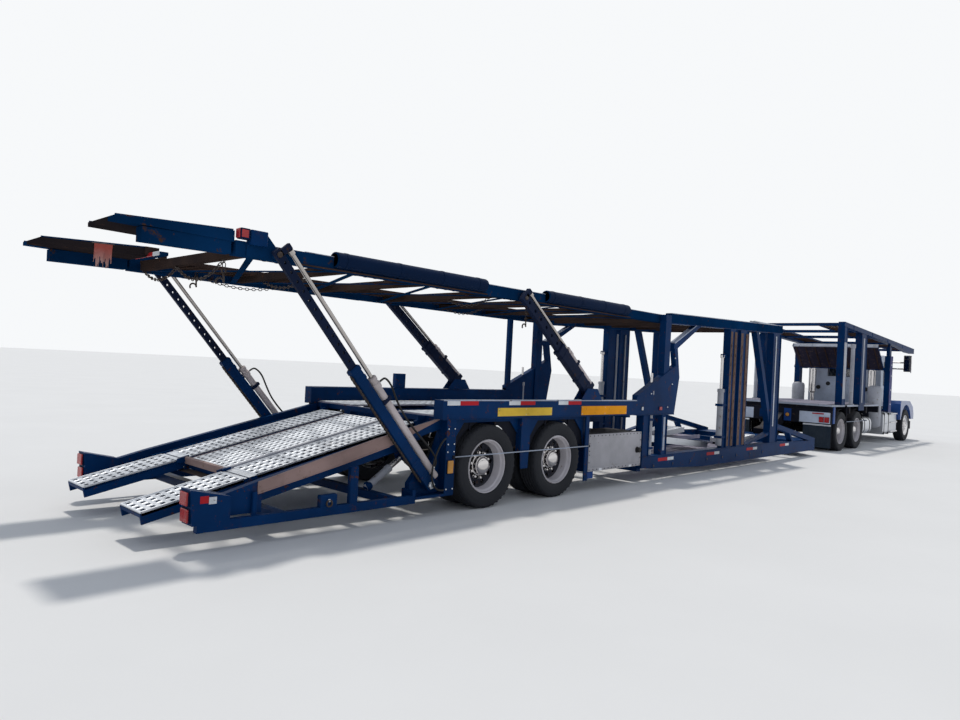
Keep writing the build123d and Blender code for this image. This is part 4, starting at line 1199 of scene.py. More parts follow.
def chainAlong(points):
    # oval links, each turned a quarter from the last
    link = startFrom(bpy.ops.mesh.primitive_torus_add, major_radius=0.014, minor_radius=0.0045, major_segments=14,
                     minor_segments=6)
    editing()
    for way in (1, -1):
        choose(link, "verts", lambda corner: corner.co.x * way > 0)
        bpy.ops.transform.translate(value=(0.008 * way, 0, 0))
    finishPiece(link, chainSteel, 60)
    pitch, spots, left, number = 0.042, [], 0.0, 0
    for a, b in zip(points, points[1:]):
        step = (b - a).length
        while left <= step:
            facing = (b - a).to_track_quat("X", "Z").to_matrix().to_4x4()
            spots.append(Matrix.Translation(a.lerp(b, left / step)) @ facing @ quarter("X", number % 2))
            left += pitch
            number += 1
        left -= step
    return strewn(link, spots)


def chainHook(place):
    # a bent hook swept from a small disc, with its shank and eye
    hook = startFrom(bpy.ops.mesh.primitive_circle_add, vertices=8, radius=0.009, fill_type="NGON",
                     location=(0.035, 0, 0))
    editing()
    bpy.ops.mesh.spin(steps=12, angle=radians(215), center=(0, 0, 0), axis=(0, 1, 0))
    outward()
    finishPiece(hook, chainSteel, 50)
    shank = rod(chainSteel, (0.035, 0, -0.004), (0.030, 0, 0.085), 0.009, 10)
    eye = turned(chainSteel, [(0.012, -0.006), (0.024, -0.006), (0.024, 0.006), (0.012, 0.006)], 16)
    moved(eye, Matrix.Translation((0.030, 0, 0.10)) @ quarter("X"))
    return moved([hook, shank, eye], Matrix.Translation(place - Vector((0.030, 0, 0.12))))


def addDeckChains():
    runs = [
        (at(-2.93, 0.98, 2.368), at(-2.93, 0.20, 2.370), 0.10), (at(-2.93, 0.20, 2.370), at(-2.93, -0.72, 2.370), 0.14),
        (at(-2.20, 1.06, 2.378), at(-1.40, 1.06, 2.378), 0.05), (at(-1.86, -0.4, 2.382), at(-1.86, 0.5, 2.382), 0.09),
        (at(0.29, -0.9, 2.382), at(0.29, -0.2, 2.382), 0.08), (at(1.34, 0.2, 2.382), at(1.34, 0.9, 2.382), 0.07)]
    parts = [chainAlong(hangLine(a, b, sag, 10)) for a, b, sag in runs]
    for x, y, z, drop in ((-2.36, 1.036, 2.465, 0.05), (-2.93, -0.75, 2.376, 0.06), (1.34, -0.6, 2.376, 0.12)):
        top = at(x, y, z)
        parts.append(chainAlong([top, top - Vector((0, 0, drop))]))
        parts.append(chainHook(top - Vector((0, 0, drop + 0.012))))
    put(parts, "deckChains", "tail_deck", "deck_rust")


# Warning flag, a frayed cloth tied to the left flipper's inner edge
flagPlan = {"corner": (-3.540, 0.611, 2.538), "far": (-3.378, 0.611, 2.545), "drop": 0.225, "columns": 26, "rows": 30}


def flagCloth():
    finish = Finish("frayedFlag")
    height = finish.axis("Z")
    weave = finish.noise(160, 2, 0.5, finish.place(scale=(1, 1, 0.25)))
    fade = finish.noise(11, 4)
    faded = (height * -1 + fade * 0.10).between(-2.45, -2.32)
    colour = finish.mix(faded, (0.42, 0.075, 0.055), (0.46, 0.28, 0.25))
    return finish.close({
        "Base Color": finish.mix(weave * 0.5, colour, (0.20, 0.05, 0.035)), "Roughness": 0.85,
        "Normal": finish.bump(weave, 0.3, 0.001)})


def addFlag(plan):
    a, b = at(*plan["corner"]), at(*plan["far"])
    wide = (b - a).length
    flag = startFrom(bpy.ops.mesh.primitive_grid_add, x_subdivisions=plan["columns"], y_subdivisions=plan["rows"],
                     size=1)
    for corner in flag.data.vertices:
        u, v = corner.co.x + 0.5, 0.5 - corner.co.y
        sway = 0.020 * v * sin(u * 9.0 + v * 1.5) + 0.012 * v * v * sin(u * 21.0 + 1.0)
        corner.co = a.lerp(b, u * (1 - 0.10 * v) + 0.03 * v) + Vector((0, sway - 0.006, -plan["drop"] * v))
    editing()
    # ragged hem: tongues of different length
    lowest = min(corner.co.z for corner in flag.data.vertices)

    def torn(face):
        middle = face.calc_center_median()
        u = (middle.x - a.x) / wide
        return middle.z < lowest + 0.045 + 0.040 * sin(u * 23.0) + 0.025 * sin(u * 57.0 + 2.0)

    choose(flag, "faces", torn)
    bpy.ops.mesh.delete(type="FACE")
    finishPiece(flag, flagCloth(), 60)
    put(flag, "warningFlag", "flipper_left")
    tie = rod(chainSteel, a + Vector((-0.02, 0.008, 0.004)), b + Vector((0.02, 0.008, 0.004)), 0.006, 10)
    put(tie, "flagRail", "flipper_left")


def addRearEnds():
    # lamps on the head brackets, plates and ribs of the flippers
    lamp = flatLamp((-3.046, -2.964), (-1.248, -1.178), (2.505, 2.592), redLens, 0.014, (-1, 0, 0))
    side = bar(redLens, (-3.040, -2.975), (-1.250, -1.236), (2.515, 2.582))
    box = bar(navy, (-2.955, -2.80), (-1.245, -1.192), (2.470, 2.592), 0.006)
    bothSides([lamp, side, box], "deckLamp", "tail_deck", "deck_rust")
    marker = [
        bar(blueDeck, (-3.035, -2.955), (0.35, 0.95), (2.484, 2.520)),
        bar(redLens, (-3.052, -3.034), (0.50, 0.94), (2.482, 2.522)),
        bar(tapeWhite, (-3.050, -3.034), (0.36, 0.498), (2.482, 2.522))]
    put(marker, "rearMarker", "tail_deck")
    for side, way in (("right", -1), ("left", 1)):
        ribs = []
        for number in range(9):
            x = -3.14 - 0.095 * number
            z = 2.570 - 0.045 * (-3.06 - x) / 0.92
            y = sorted((way * 0.625, way * 1.165))
            ribs.append(bar(blueDeck, (x - 0.008, x + 0.008), y, (z - 0.001, z + 0.010), 0.002))
        for y in (0.622, 1.158):
            ribs.append(plate(blueDeck, [(-3.07, 2.565), (-3.07, 2.583), (-3.975, 2.538), (-3.975, 2.518)],
                              sorted((way * y, way * (y + 0.010))), 0.002))
        put(ribs, "flapRibs", f"flipper_{side}", "deck_rust")


def addFixedDeckDetails():
    parts = []
    for n in range(33):
        x = 4.12 + 0.13 * n
        parts.append(bar(rustyTreads, (x, x + 0.03), (-1.033, -0.562), (upperZ(x) + 0.085, upperZ(x) + 0.101), 0.002))
    low = strip(navy, upperZ, (3.97, 8.41), (-0.008, 0.004), (-1.296, -1.18))
    # the top strip is pale: painted highlight on the beam's top edge
    top = strip(paintedHighlightEdge, upperZ, (3.97, 8.41), (0.146, 0.157), (-1.294, -1.18))
    whiteBars = [bar(tapeWhite, (7.13, 8.40), (y, y + 0.03), (2.652, 2.678)) for y in (-1.26, -1.19)]
    stops = [bar(navy, (x, x + 0.04), (-1.27, -1.15), (upperZ(x) + 0.15, 2.656)) for x in (7.25, 8.25)]
    bothSides([*parts, low, top, *whiteBars, *stops], "fixedDeck", "trailer", "deck_rust")


# Posts between the decks
postPlan = {
    # rear station, front station, low, high
    "posts": ((6.03, 6.31, 0.385, 2.44), (6.45, 6.80, 0.385, 2.455), (7.96, 8.34, 0.385, 2.50)),
    "channels": ((6.045, 6.125), (6.215, 6.295), (6.47, 6.56), (6.69, 6.78)),
    "cylinder": (5.975, 0.42, 1.40), "rodTop": 1.95,
}


def slottedChannel(x, z):
    # an outer channel with a row of slots
    sheet = bar(channelBrown, x, (-1.304, -1.2885), z, 0.003)
    middle = (x[0] + x[1]) / 2
    slot = bar(channelBrown, (middle - 0.011, middle + 0.011), (-1.32, -1.28), (-0.032, 0.032), 0.006)
    count = int((z[1] - z[0] - 0.2) / 0.16)
    return cutBy(sheet, strewn(slot, [Matrix.Translation((0, 0, z[0] + 0.14 + 0.16 * n)) for n in range(count)]))


def addPosts(plan):
    channels = [slottedChannel(x, (0.41, 2.40)) for x in plan["channels"]]
    bothSides(channels, "postChannels", "trailer", "frame_blue")
    edges = [bar(navy, (x, x + 0.014), (-1.306, -1.176), (low, high), 0.002)
             for rear, front, low, high in plan["posts"] for x in (rear - 0.003, front - 0.011)]
    edges += [bar(navy, (x, x + 0.014), (-1.302, -1.180), (0.385, 0.985), 0.002)
              for x in (3.257, 3.429, 3.797, 3.949)]
    edges.append(bar(tapeWhite, (8.10, 8.135), (-1.297, -1.289), (0.70, 2.45), 0.002))
    # pale strip on the post's edge: painted highlight
    edges.append(bar(paintedHighlightEdge, (3.855, 3.905), (-1.297, -1.289), (0.45, 0.95), 0.002))
    bothSides(edges, "postFlanges", "trailer", "frame_blue")
    # white lift cylinders beside the posts
    (x, low, high), top = plan["cylinder"], plan["rodTop"]
    body = turned(whitePaint, [
        (0.0, low), (0.045, low), (0.052, low + 0.012), (0.052, high - 0.06), (0.060, high - 0.055),
        (0.060, high - 0.01), (0.050, high), (0.0, high)], 28)
    shaft = turned(chrome, [
        (0.0, high), (0.024, high), (0.024, top - 0.02), (0.036, top - 0.015), (0.036, top + 0.03),
        (0.0, top + 0.035)], 20)
    whole = placed([body, shaft], x - 0.06, -1.225, 0)
    holds = [bar(navy, (x - 0.122, x + 0.06), (-1.292, -1.160), (z, z + 0.04), 0.003) for z in (0.55, 1.10)]
    eye = bar(navy, (x - 0.09, x + 0.07), (-1.26, -1.20), (top - 0.01, top + 0.05))
    bothSides([whole, *holds, eye], "postCylinder", "trailer", "barrel_tan")
    small = turned(whitePaint, [
        (0.0, 0.40), (0.034, 0.40), (0.040, 0.41), (0.040, 1.28), (0.046, 1.285), (0.046, 1.34), (0.0, 1.345)], 24)
    smallRod = turned(chrome, [(0.0, 1.34), (0.018, 1.34), (0.018, 1.60), (0.0, 1.605)], 16)
    unit = placed([small, smallRod], 3.530, -1.246, 0)
    clasp = [bar(navy, (3.43, 3.575), (-1.292, -1.20), (z, z + 0.035), 0.003) for z in (0.48, 0.90)]
    bothSides([unit, *clasp], "frontCylinder", "trailer", "barrel_tan")


def addGussets():
    edge = [
        plate(navy, [(3.075, 1.262), (3.075, 1.274), (4.158, 1.744), (4.168, 1.734), (3.08, 1.258)],
              (-1.302, -1.205), 0.002),
        plate(navy, [(3.075, 0.985), (3.075, 0.996), (4.16, 0.996), (4.16, 0.985)], (-1.302, -1.205), 0.002),
        # pale strip along the sloping top edge: painted highlight
        plate(paintedHighlightEdge, [(4.085, 2.078), (4.085, 2.090), (4.765, upperZ(4.765)), (4.785, upperZ(4.785) - 0.002),
                         (4.10, 2.075)], (-1.298, -1.205), 0.002),
        flatLamp((3.195, 3.250), (-1.296, -1.2905), (1.055, 1.115), tapeWhite, 0.006),
        flatLamp((3.695, 3.780), (-1.297, -1.2905), (1.052, 1.112), redLens, 0.010)]
    edge += [bolt(x, z, (-1.304, -1.288), 0.011) for x, z in ((3.45, 1.30), (3.95, 1.10), (4.06, 1.45), (4.12, 1.85))]
    bothSides(edge, "gussetEdge", "trailer", "frame_blue")
    # cheeks of the mid arm's foot, and pipes between the tall posts
    cheek = [(1.70, 1.204), (2.17, 1.204), (2.06, 1.355), (1.83, 1.355)]
    extras = [plate(navy, cheek, y, 0.002) for y in ((-1.299, -1.289), (-1.181, -1.171))]
    extras += [rod(whitePaint, at(x, y, 0.45), at(x, y, 2.36), thick, 14)
               for x, y, thick in ((6.38, -1.200, 0.020), (6.62, -1.160, 0.013))]
    bothSides(extras, "armCheeks", "trailer", "frame_blue")
    left = bars(
        navy, 0.005, ((0.69, 0.87), (1.205, 1.282), (1.198, 1.41)), ((3.10, 3.19), (1.215, 1.282), (1.20, 2.47)),
        ((3.07, 3.22), (1.20, 1.288), (1.195, 1.24)))
    put(left, "leftPosts", "trailer", "frame_blue")


# Low frame, its rails and the decking between them
lowPlan = {
    "tapes": (3.75, 5.35, 6.95, 8.55), "tapeZ": (0.290, 0.338),
    "track": (3.50, 8.55), "trackY": (0.455, 1.035), "trackZ": 0.3205,
    # front station, length, rise in degrees, height of the front edge, lower end of the foot
    "stowed": ((6.00, 2.25, 5.5, 0.335, -0.20), (8.05, 0.95, -4.0, 0.400, -0.06)),
}


def addLowDeck(plan):
    tapes = []
    for x in plan["tapes"]:
        tapes += [tape(tapeRed, (x, x + 0.28), plan["tapeZ"]), tape(tapeWhite, (x + 0.282, x + 0.47), plan["tapeZ"])]
    bothSides(tapes, "railTape", "trailer")
    lips = [plate(navy, [(3.285, 0.377), (3.285, 0.388), (8.35, 0.388), (8.35, 0.377)], (-1.304, -1.17), 0.002)]
    for n in range(8):
        x = 3.62 + 0.58 * n
        lips += [bar(navy, (x - 0.035, x + 0.035), (-1.295, -1.288), (0.195, 0.265), 0.003),
                 rod(chainSteel, at(x, -1.300, 0.23), at(x, -1.290, 0.23), 0.018)]
    bothSides(lips, "railTop", "trailer", "frame_blue")
    low, high = plan["trackY"]
    sheets = [
        pressedSheet("track", paleTread, plan["track"], (-high, -low), plan["trackZ"], 5, 42),
        pressedSheet("overWheels", galvanised, (-0.62, 3.05), (-1.13, -0.44), 1.0295, 6, 32)]
    bothSides(placed(sheets, 0, 0, 0), "treadSheets", "trailer", "deck_rust")
    # spare ramp planks stowed on the tracks, drawn level about their front edge and then tilted
    for number, (front, long, rise, lift, footLow) in enumerate(plan["stowed"]):
        stowed = [pressedSheet("stowed", galvanised, (-long, 0), (-0.98, -0.52), 0.110, 4, round(long / 0.1))]
        stowed += [localBar(galvanised, (-long, 0), (edge, edge + 0.008), (0.012, 0.118), 0.002)
                   for edge in (-0.988, -0.520)]
        for n in range(5):
            x = -long + (long - 0.02) * n / 4
            stowed.append(localBar(galvanised, (x, x + 0.018), (-0.982, -0.518), (0.030, 0.104), 0.002))
        foot = localBar(chassis, (-long + 0.05, -long + 0.11), (-0.96, -0.54), (footLow, 0.020), 0.003)
        tilt = Matrix.Translation(at(front, 0, lift)) @ Matrix.Rotation(radians(rise), 4, "Y")
        bothSides(moved([*stowed, foot], tilt), f"stowedPlank{number}", "trailer", "axle_dark")


addTailDeckDetails(deckPlan)
addDeckChains()
addFlag(flagPlan)
addRearEnds()
addFixedDeckDetails()
print("stage: upper deck")
addPosts(postPlan)
addGussets()
addLowDeck(lowPlan)
print("stage: posts and lower deck")


# Tractor: rear panel, flaps and deck edge
rearPlan = {"x": 11.700, "panel": ((0.55, 1.24), (0.655, 0.912)), "flap": ((0.645, 1.262), (0.085, 0.640))}


def addTractorRear(plan):
    x = plan["x"]
    (y0, y1), (z0, z1) = plan["flap"]
    parts = [bar(flapRubber, (x - 0.012, x - 0.001), (-y1, -y0), (z0, z1))]
    for n in range(7):
        y = -y1 + 0.06 + n * (y1 - y0 - 0.12) / 6
        parts.append(bar(flapRubber, (x - 0.018, x - 0.010), (y - 0.010, y + 0.010), (z0 + 0.04, z1 - 0.08), 0.003))
    parts.append(bar(galvanised, (x - 0.020, x - 0.008), (-y1, -y0), (z1 - 0.045, z1 - 0.01), 0.003))
    bothSides(parts, "mudFlap", "tractor", "chassis_black")
    (y0, y1), (z0, z1) = plan["panel"]
    # white panel in the cab paint, whose bluish grey is painted shade
    panel = [bar(cabWhiteSkyShaded, (x - 0.010, x + 0.002), (-y1, -y0), (z0, z1), 0.006)]
    for y in (-y1 + 0.07, -y1 + 0.19):
        panel.append(flatLamp((x - 0.016, x - 0.008), (y - 0.055, y + 0.055), (z0 + 0.020, z0 + 0.150), redLens,
                              out=(-1, 0, 0)))
    panel.append(bar(redLens, (x - 0.014, x - 0.006), (-y1 + 0.14, -y1 + 0.40), (z1 - 0.050, z1 - 0.020), 0.002))
    panel += [rod(galvanised, at(x - 0.016, y, z), at(x - 0.008, y, z), 0.008, 8)
              for y in (-y1 + 0.03, -y0 - 0.03) for z in (z0 + 0.02, z1 - 0.02)]
    bothSides(panel, "rearPanel", "tractor", "cab_paint")
    middle = [
        bar(wingBlue, (x - 0.014, x + 0.002), (-0.36, -0.19), (0.650, 0.950), 0.005),
        bar(navy, (x - 0.010, x + 0.002), (0.10, 0.40), (0.700, 0.900), 0.005),
        placed(roundLamp(0.045, 0.012, (-1, 0, 0), amberLens), x - 0.014, -0.275, 0.80)]
    edgeZ = (1.052, 1.095)
    # pale bars along the deck edges: painted highlight
    middle += bars(
        paintedHighlightEdge, 0.003, ((11.695, 15.595), (-1.2745, -1.262), edgeZ), ((11.695, 15.595), (1.262, 1.2745), edgeZ),
        ((11.690, 11.702), (-1.27, 1.27), edgeZ))
    put(middle, "rearMiddle", "tractor", "chassis_black")
    low = [
        bar(wingBlue, (11.775, 11.905), (-1.286, -1.150), (0.655, 1.048), 0.006),
        # pale rod: painted highlight
        rod(paintedHighlightEdge, at(12.66, -1.3035, 0.690), at(14.33, -1.3035, 0.690), 0.0075, 10)]
    low += bars(
        chassis, 0.003, ((12.650, 12.680), (-1.312, -1.262), (0.672, 0.710)),
        ((12.650, 12.680), (-1.312, -1.298), (0.690, 1.060)), ((12.650, 12.680), (-1.312, -1.255), (1.052, 1.090)),
        ((14.315, 14.345), (-1.312, -1.230), (0.675, 0.705)))
    bothSides(low, "driveGuard", "tractor", "chassis_black")
    # tread plate on the deck between the posts
    tread = pressedSheet("tractorDeck", paleTread, (11.75, 15.55), (-1.12, 1.12), 1.1005, 14, 28)
    put(placed(tread, 0, 0, 0), "deckTread", "tractor", "chassis_black")


# Fenders over the drive wheels
def addDriveFenders():
    arcs = []
    for centre in (12.39, 13.65):
        fender = startFrom(bpy.ops.mesh.primitive_circle_add, vertices=4, radius=1, fill_type="NOTHING")
        section = ((0.525, -1.268), (0.532, -1.268), (0.532, -0.745), (0.525, -0.745))
        for corner, (radius, y) in zip(fender.data.vertices, section):
            corner.co = (radius, y, 0)
        editing()
        bpy.ops.mesh.spin(steps=20, angle=radians(110), center=(0, 0, 0), axis=(0, 1, 0))
        bpy.ops.mesh.select_all(action="SELECT")
        bpy.ops.mesh.remove_doubles(threshold=0.0002)
        bpy.ops.mesh.select_mode(type="EDGE")
        bpy.ops.mesh.select_non_manifold()
        bpy.ops.mesh.fill()
        outward()
        finishPiece(fender, chassis, 40)
        placed(fender, centre, 0, wheelPlan["tyreRadius"], Matrix.Rotation(radians(-35), 4, "Y"))
        arcs += [fender, bar(chassis, (centre - 0.02, centre + 0.02), (-0.80, -0.455), (0.985, 1.02))]
    bothSides(arcs, "driveFenders", "tractor", "chassis_black")


# Head rack: flanges and strips
def rackTop(x):
    return 3.080 - 0.290 * (x - 12.29) / (19.12 - 12.29)


def addHeadRack():
    rear, front = 12.295, 19.115
    flange = [
        # pale top plate: painted highlight along the rack's top edge
        plate(paintedHighlightEdge, [(rear, rackTop(rear) - 0.003), (rear, rackTop(rear)), (front, rackTop(front)),
                         (front, rackTop(front) - 0.004)], (-1.296, -1.145), 0),
        strip(navy, rackTop, (rear, 17.30), (-0.116, -0.107), (-1.300, -1.145))]
    flange += [bar(navy, (x, x + 0.012), (-1.297, -1.285), (rackTop(x) - 0.104, rackTop(x) - 0.006), 0.002)
               for x in (13.0, 14.6, 16.1, 17.7)]
    for n in range(40):
        x = 12.42 + 0.165 * n
        z = (rackTop(x) - 0.055, rackTop(x) - 0.038)
        flange.append(bar(rustyTreads, (x, x + 0.035), (-1.152, -0.62), z, 0.002))
    flange.append(strip(navy, rackTop, (12.38, 19.03), (-0.07, -0.03), (-0.635, -0.615)))
    flange.append(flatLamp((19.112, 19.122), (-1.26, -1.18), (2.70, 2.75), amberLens, 0.001, (1, 0, 0)))
    bothSides(flange, "rackFlanges", "head_deck", "frame_blue")


def addPostCovers():
    white = [
        bar(whitePaint, (12.300, 12.512), coverY, (1.24, 2.59), 0.003),
        bar(whitePaint, (13.855, 13.945), coverY, (1.15, 2.78), 0.003),
        bar(navy, (13.695, 14.155), (-1.2935, -1.2885), (1.095, 1.18), 0.003),
        bar(navy, (13.70, 14.15), (-1.287, -1.274), (0.95, 1.095))]
    for rear, front in ((12.290, 12.520), (13.700, 14.150)):
        for x in (rear - 0.003, front - 0.011):
            white.append(bar(navy, (x, x + 0.014), (-1.300, -1.142), (1.092, rackTop(front) - 0.116), 0.002))
    thin = turned(whitePaint, [
        (0.0, 1.10), (0.075, 1.10), (0.075, 1.115), (0.045, 1.12), (0.045, 2.50), (0.060, 2.505), (0.060, 2.60),
        (0.0, 2.61)], 24)
    white.append(placed(thin, 13.33, -1.20, 0))
    bothSides(white, "postCovers", "tractor", "frame_blue")
    violet = [
        bar(violetPaint, (16.455, 16.705), coverY, (0.885, 2.45)),
        bar(violetPaint, (16.455, 16.705), (-1.300, -1.2885), (2.30, 2.45))]
    violet += [bolt(16.58, z, (-1.308, -1.29), 0.022, 12) for z in (1.1, 1.5, 1.9, 2.2)]
    bothSides(violet, "violetPlate", "tractor", "frame_blue")


def addAirTank():
    # tall and white, beside the rails
    tank = turned(whitePaint, [
        (0.0, 0.43), (0.09, 0.44), (0.15, 0.47), (0.172, 0.52), (0.172, 0.70), (0.176, 0.705), (0.176, 0.745),
        (0.172, 0.75), (0.172, 1.30), (0.176, 1.305), (0.176, 1.345), (0.172, 1.35), (0.172, 1.52), (0.15, 1.57),
        (0.09, 1.60), (0.0, 1.61)], 32)
    placed(tank, 16.08, -1.03, 0)
    stays = [bar(chassis, (16.03, 16.13), (-0.90, -0.455), (z, z + 0.06)) for z in (0.70, 0.81)]
    stays.append(bar(chassis, (15.90, 15.96), (-0.93, -0.80), (0.70, 0.87)))
    bothSides([tank, *stays], "airTank", "tractor", "tank_steel")


def addTiltedPanel():
    # rusty sheets on the tilted panel behind the cab, and its upper lip in pale paint: a painted highlight
    tilt = tiltedPlace(at(15.770, 0, 2.690), at(16.425, 0, 2.080))[0]
    sheets = [localBar(underPanel, x, (-1.13, 1.13), (0.012, 0.885), 0.002)
              for x in ((-0.034, -0.026), (0.026, 0.034))]
    for n in range(9):
        y = -1.04 + 0.26 * n
        sheets += [localBar(rustyTreads, x, (y - 0.012, y + 0.012), (0.03, 0.87), 0.003)
                   for x in ((0.033, 0.052), (-0.052, -0.033))]
    sheets.append(localBar(paintedHighlightEdge, (-0.056, 0.056), (-1.14, 1.14), (-0.014, 0.014)))
    put(moved(sheets, tilt), "tiltedPanel", "tractor", "frame_blue")


# Tanks and steps, in place of the plain blocks
tankPlan = {"tank": ((14.31, 15.05), (0.46, 1.24), (0.32, 0.77)), "steps": ((16.30, 17.72), (0.46, 1.24), (0.25, 0.85))}


def addTanks(plan):
    (x0, x1), (y0, y1), (z0, z1) = plan["tank"]
    tank = block((x0, x1), (-y1, -y0), (z0, z1))
    roundEdges(tank, 0, 0.1, 0.16, 7)
    choose(tank, "faces", lambda face: abs(face.normal.x) > 0.9)
    insets((0.02, 0), (0.03, -0.012))
    parts = [finishPiece(tank, tankMetal, 35)]
    for x in (x0 + 0.12, x1 - 0.17):
        strap = block((x, x + 0.05), (-y1 - 0.004, -y0 + 0.004), (z0 - 0.004, z1 + 0.004))
        roundEdges(strap, 0, 0.02, 0.163, 7)
        parts.append(finishPiece(strap, trim, 35))
    cap = turned(alloy, [(0.0, 0.0), (0.055, 0.0), (0.055, 0.022), (0.048, 0.030), (0.0, 0.032)], 24)
    parts.append(placed(cap, x0 + 0.42, -y1 + 0.26, z1 - 0.002))
    bothSides(parts, "fuelTank", "tractor", "tank_steel", "tanks_steps")
    (x0, x1), (y0, y1), (z0, z1) = plan["steps"]
    box = block((x0, x1), (-y1 + 0.03, -y0), (z0, z1))
    roundEdges(box, 0, 0.1, 0.09, 5)
    steps = [finishPiece(box, tankMetal, 35)]
    for z in (0.30, 0.56, 0.80):
        steps.append(bar(alloy, (17.02, 17.70), (-1.245, -1.06), (z, z + 0.035), 0.006))
        for n in range(12):
            x = 17.05 + 0.054 * n
            steps.append(bar(galvanised, (x, x + 0.018), (-1.240, -1.08), (z + 0.034, z + 0.040), 0.002))
    steps += [bar(trim, (x, x + 0.045), (-1.215, -0.47), (0.247, 0.852), 0.003) for x in (16.42, 16.86)]
    plug = turned(galvanised, [(0.0, 0.0), (0.03, 0.0), (0.03, 0.01), (0.0, 0.014)], 16)
    steps.append(placed(plug, 16.64, -1.21, 0.56, quarter("X")))
    bothSides(steps, "cabSteps", "tractor", "tank_steel", "tanks_steps")


# Cab
def frameBars(material, edge, place, a, b, wide):
    # four bars round an opening over the pairs a and b, which place puts on the wall
    sides = [place(pair, (b[0] - wide, b[1] + wide)) for pair in ((a[0] - wide, a[0]), (a[1], a[1] + wide))]
    ends = [place(a, pair) for pair in ((b[0] - wide, b[0]), (b[1], b[1] + wide))]
    return bars(material, edge, *sides, *ends)


def addCabRear():
    # rear window rubber, ribs and grab rails
    rear = frameBars(trim, 0.003, lambda y, z: ((16.790, 16.802), y, z), (-0.42, 0.42), (1.85, 2.25), 0.025)
    for y, z in ((0.70, 1.48), (0.43, 1.60), (-0.60, 1.48)):
        spot = turned(trim, [
            (0.0, 0.0), (0.062, 0.0), (0.062, 0.008), (0.048, 0.014), (0.044, 0.006), (0.0, 0.006)], 24)
        rear.append(placed(spot, 16.801, y, z, quarter("Y", -1)))
    rear += [bar(cabWhiteSkyShaded, (16.793, 16.802), (-0.93, 0.93), (z, z + 0.022), 0.003) for z in (1.30, 1.72, 2.35)]
    for y in (-0.87, 0.85):
        rear.append(bar(alloy, (16.742, 16.764), (y, y + 0.022), (1.25, 2.20), 0.006))
        rear += [bar(alloy, (16.750, 16.802), (y, y + 0.022), (z, z + 0.022)) for z in (1.26, 2.16)]
    # roof lamps and sun visor
    for y in (-0.72, -0.22, 0.0, 0.22, 0.72):
        dome = turned(amberLens, [(0.0, 0.0), (0.060, 0.0), (0.056, 0.018), (0.036, 0.034), (0.0, 0.040)], 20)
        rear.append(placed(dome, 17.60, y, 2.480))
    rear.append(plate(cabWhiteSkyShaded, [
        (17.655, 2.470), (17.655, 2.482), (17.86, 2.405), (17.935, 2.335), (17.930, 2.322), (17.84, 2.39)],
        (-0.90, 0.90)))
    # exhaust stacks behind the cab
    for y in (-0.80, 0.80):
        stack = turned(chrome, [
            (0.0, 1.00), (0.062, 1.00), (0.062, 1.30), (0.095, 1.34), (0.095, 2.02), (0.062, 2.06), (0.062, 2.58),
            (0.052, 2.60), (0.052, 2.40), (0.0, 2.39)], 28)
        rear += [placed(stack, 16.60, y, 0),
                 bar(chassis, (16.56, 16.64), sorted((y * 0.55, y)), (0.96, 1.02)),
                 bar(chassis, (16.60, 16.80), (y - 0.02, y + 0.02), (2.06, 2.10))]
    put(rear, "cabRear", "tractor", "cab_paint")
    slope = (Vector((17.695, 0, 2.370)) - Vector((17.975, 0, 1.630))).normalized()
    wipers = []
    for y in (-0.42, 0.38):
        foot = at(18.000, y, 1.615)
        tip = foot + slope * 0.52 + Vector((0.012, 0.30, 0))
        bladeLow = tip - slope * 0.24 + Vector((0.004, -0.04, 0))
        bladeHigh = tip + slope * 0.08 + Vector((0.004, 0.04, 0))
        wipers += [rod(trim, foot, tip, 0.008, 8), rod(trim, bladeLow, bladeHigh, 0.006, 8)]
    put(wipers, "wipers", "tractor", "interior_grey")


def addDoorFittings():
    for side, way in (("right", 1), ("left", -1)):
        door = frameBars(trim, 0.004, lambda x, z: (x, (-0.994, -0.984), z), (17.09, 17.70), (1.64, 2.27), 0.024)
        door += [
            bar(alloy, (17.075, 17.205), (-1.022, -1.004), (1.445, 1.470), 0.006),
            *(bar(alloy, (x, x + 0.020), (-1.008, -0.984), (1.447, 1.468), 0.003) for x in (17.080, 17.180)),
            bar(cabWhiteSkyShaded, (17.02, 17.78), (-0.993, -0.984), (1.345, 1.365)),
            bar(alloy, (17.04, 17.76), (-0.989, -0.984), (1.09, 1.20), 0.002),
            # mirror: dark head, two glasses and a chrome bracket
            bar(trim, (17.684, 17.776), (-1.506, -1.344), (2.052, 2.528), 0.012),
            *(bar(mirrorGlass, (17.679, 17.686), (-1.496, -1.354), z, 0.003)
              for z in ((2.075, 2.400), (2.415, 2.512))),
            bar(chrome, (17.715, 17.750), (-1.540, -1.515), (2.020, 2.540), 0.006),
            *(bar(chrome, (17.712, 17.752), (-1.540, -0.995), z, 0.006)
              for z in ((2.112, 2.150), (2.294, 2.332)))]
        if way < 0:
            door = moved(door, acrossMirror)
        put(door, "doorFittings_" + side, "door_" + side, "cab_paint")


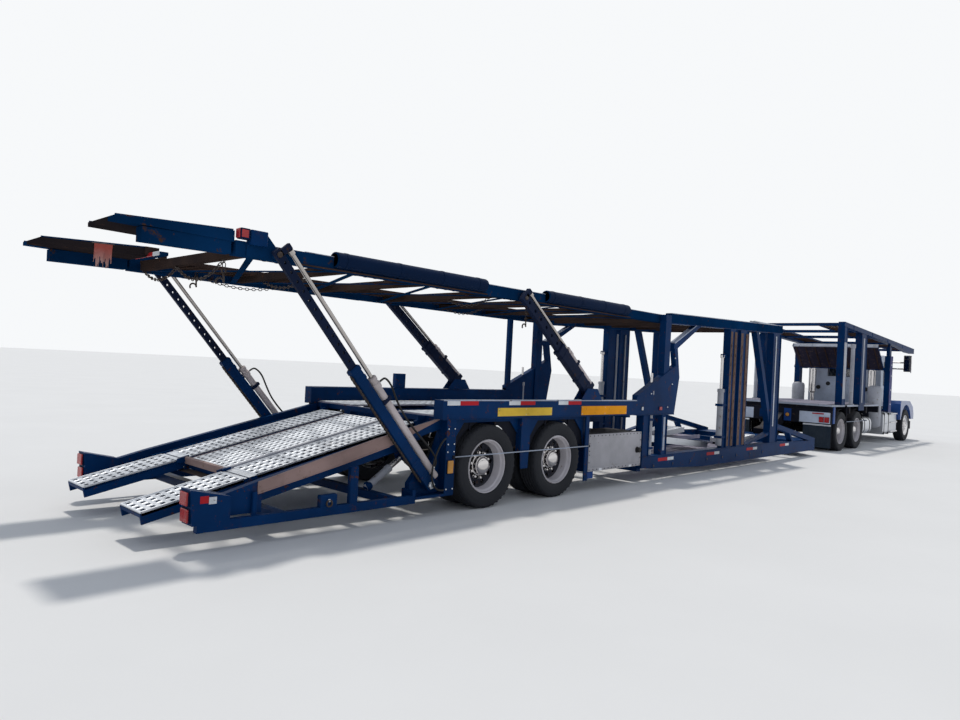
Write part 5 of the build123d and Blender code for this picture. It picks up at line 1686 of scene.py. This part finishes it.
def addHoodFittings():
    # grille, headlamps, latches and side slots
    front = frameBars(alloy, 0.004, lambda y, z: ((19.392, 19.404), y, z), (-0.44, 0.44), (0.74, 1.22), 0.04)
    front.append(bar(trim, (19.396, 19.402), (-0.44, 0.44), (0.74, 1.22), 0.002))
    for n in range(15):
        y = -0.42 + 0.06 * n
        front.append(bar(alloy, (19.399, 19.409), (y - 0.009, y + 0.009), (0.742, 1.218), 0.003))
    for y in (-0.93, 0.93):
        front.append(bar(alloy, (19.385, 19.412), (y - 0.17, y + 0.17), (0.655, 0.79), 0.01))
        front += [placed(roundLamp(0.055, 0.022, (1, 0, 0), clearLens), 19.412, y + step, 0.723)
                  for step in (-0.08, 0.08)]
    front += [bar(trim, (18.12, 18.20), (y - 0.008, y + 0.012), (1.22, 1.34)) for y in (-0.608, 0.603)]
    for n in range(6):
        x = 18.30 + 0.03 * n
        front += [bar(trim, (x, x + 0.015), y, (1.24, 1.37), 0.002) for y in ((-0.606, -0.598), (0.598, 0.606))]
    put(front, "hoodFittings", "hood", "cab_paint")


def addBumper():
    bumper = block((19.410, 19.483), (-1.206, 1.206), (0.324, 0.566))
    middleX = at(19.45, 0, 0).x
    choose(bumper, "edges", lambda item: item.verts[0].co.x > middleX and abs(
        item.verts[0].co.z - item.verts[1].co.z) > 0.1)
    bevel(0.05, 5)
    choose(bumper, "faces", lambda face: face.normal.x > 0.95)
    insets((0.05, 0), (0.004, -0.0015))
    finishPiece(bumper, chrome, 35)
    bumperLamps = [placed(roundLamp(0.045, 0.006, (1, 0, 0), clearLens), 19.4815, y, 0.445) for y in (-0.85, 0.85)]
    blank = bar(whitePaint, (19.478, 19.4860), (-0.16, 0.16), (0.40, 0.49), 0.002)
    put([bumper, *bumperLamps, blank], "frontBumper", "tractor", "cab_paint")


addTractorRear(rearPlan)
addDriveFenders()
addHeadRack()
addPostCovers()
addAirTank()
addTiltedPanel()
addTanks(tankPlan)
addCabRear()
addDoorFittings()
addHoodFittings()
addBumper()
print("stage: tractor")
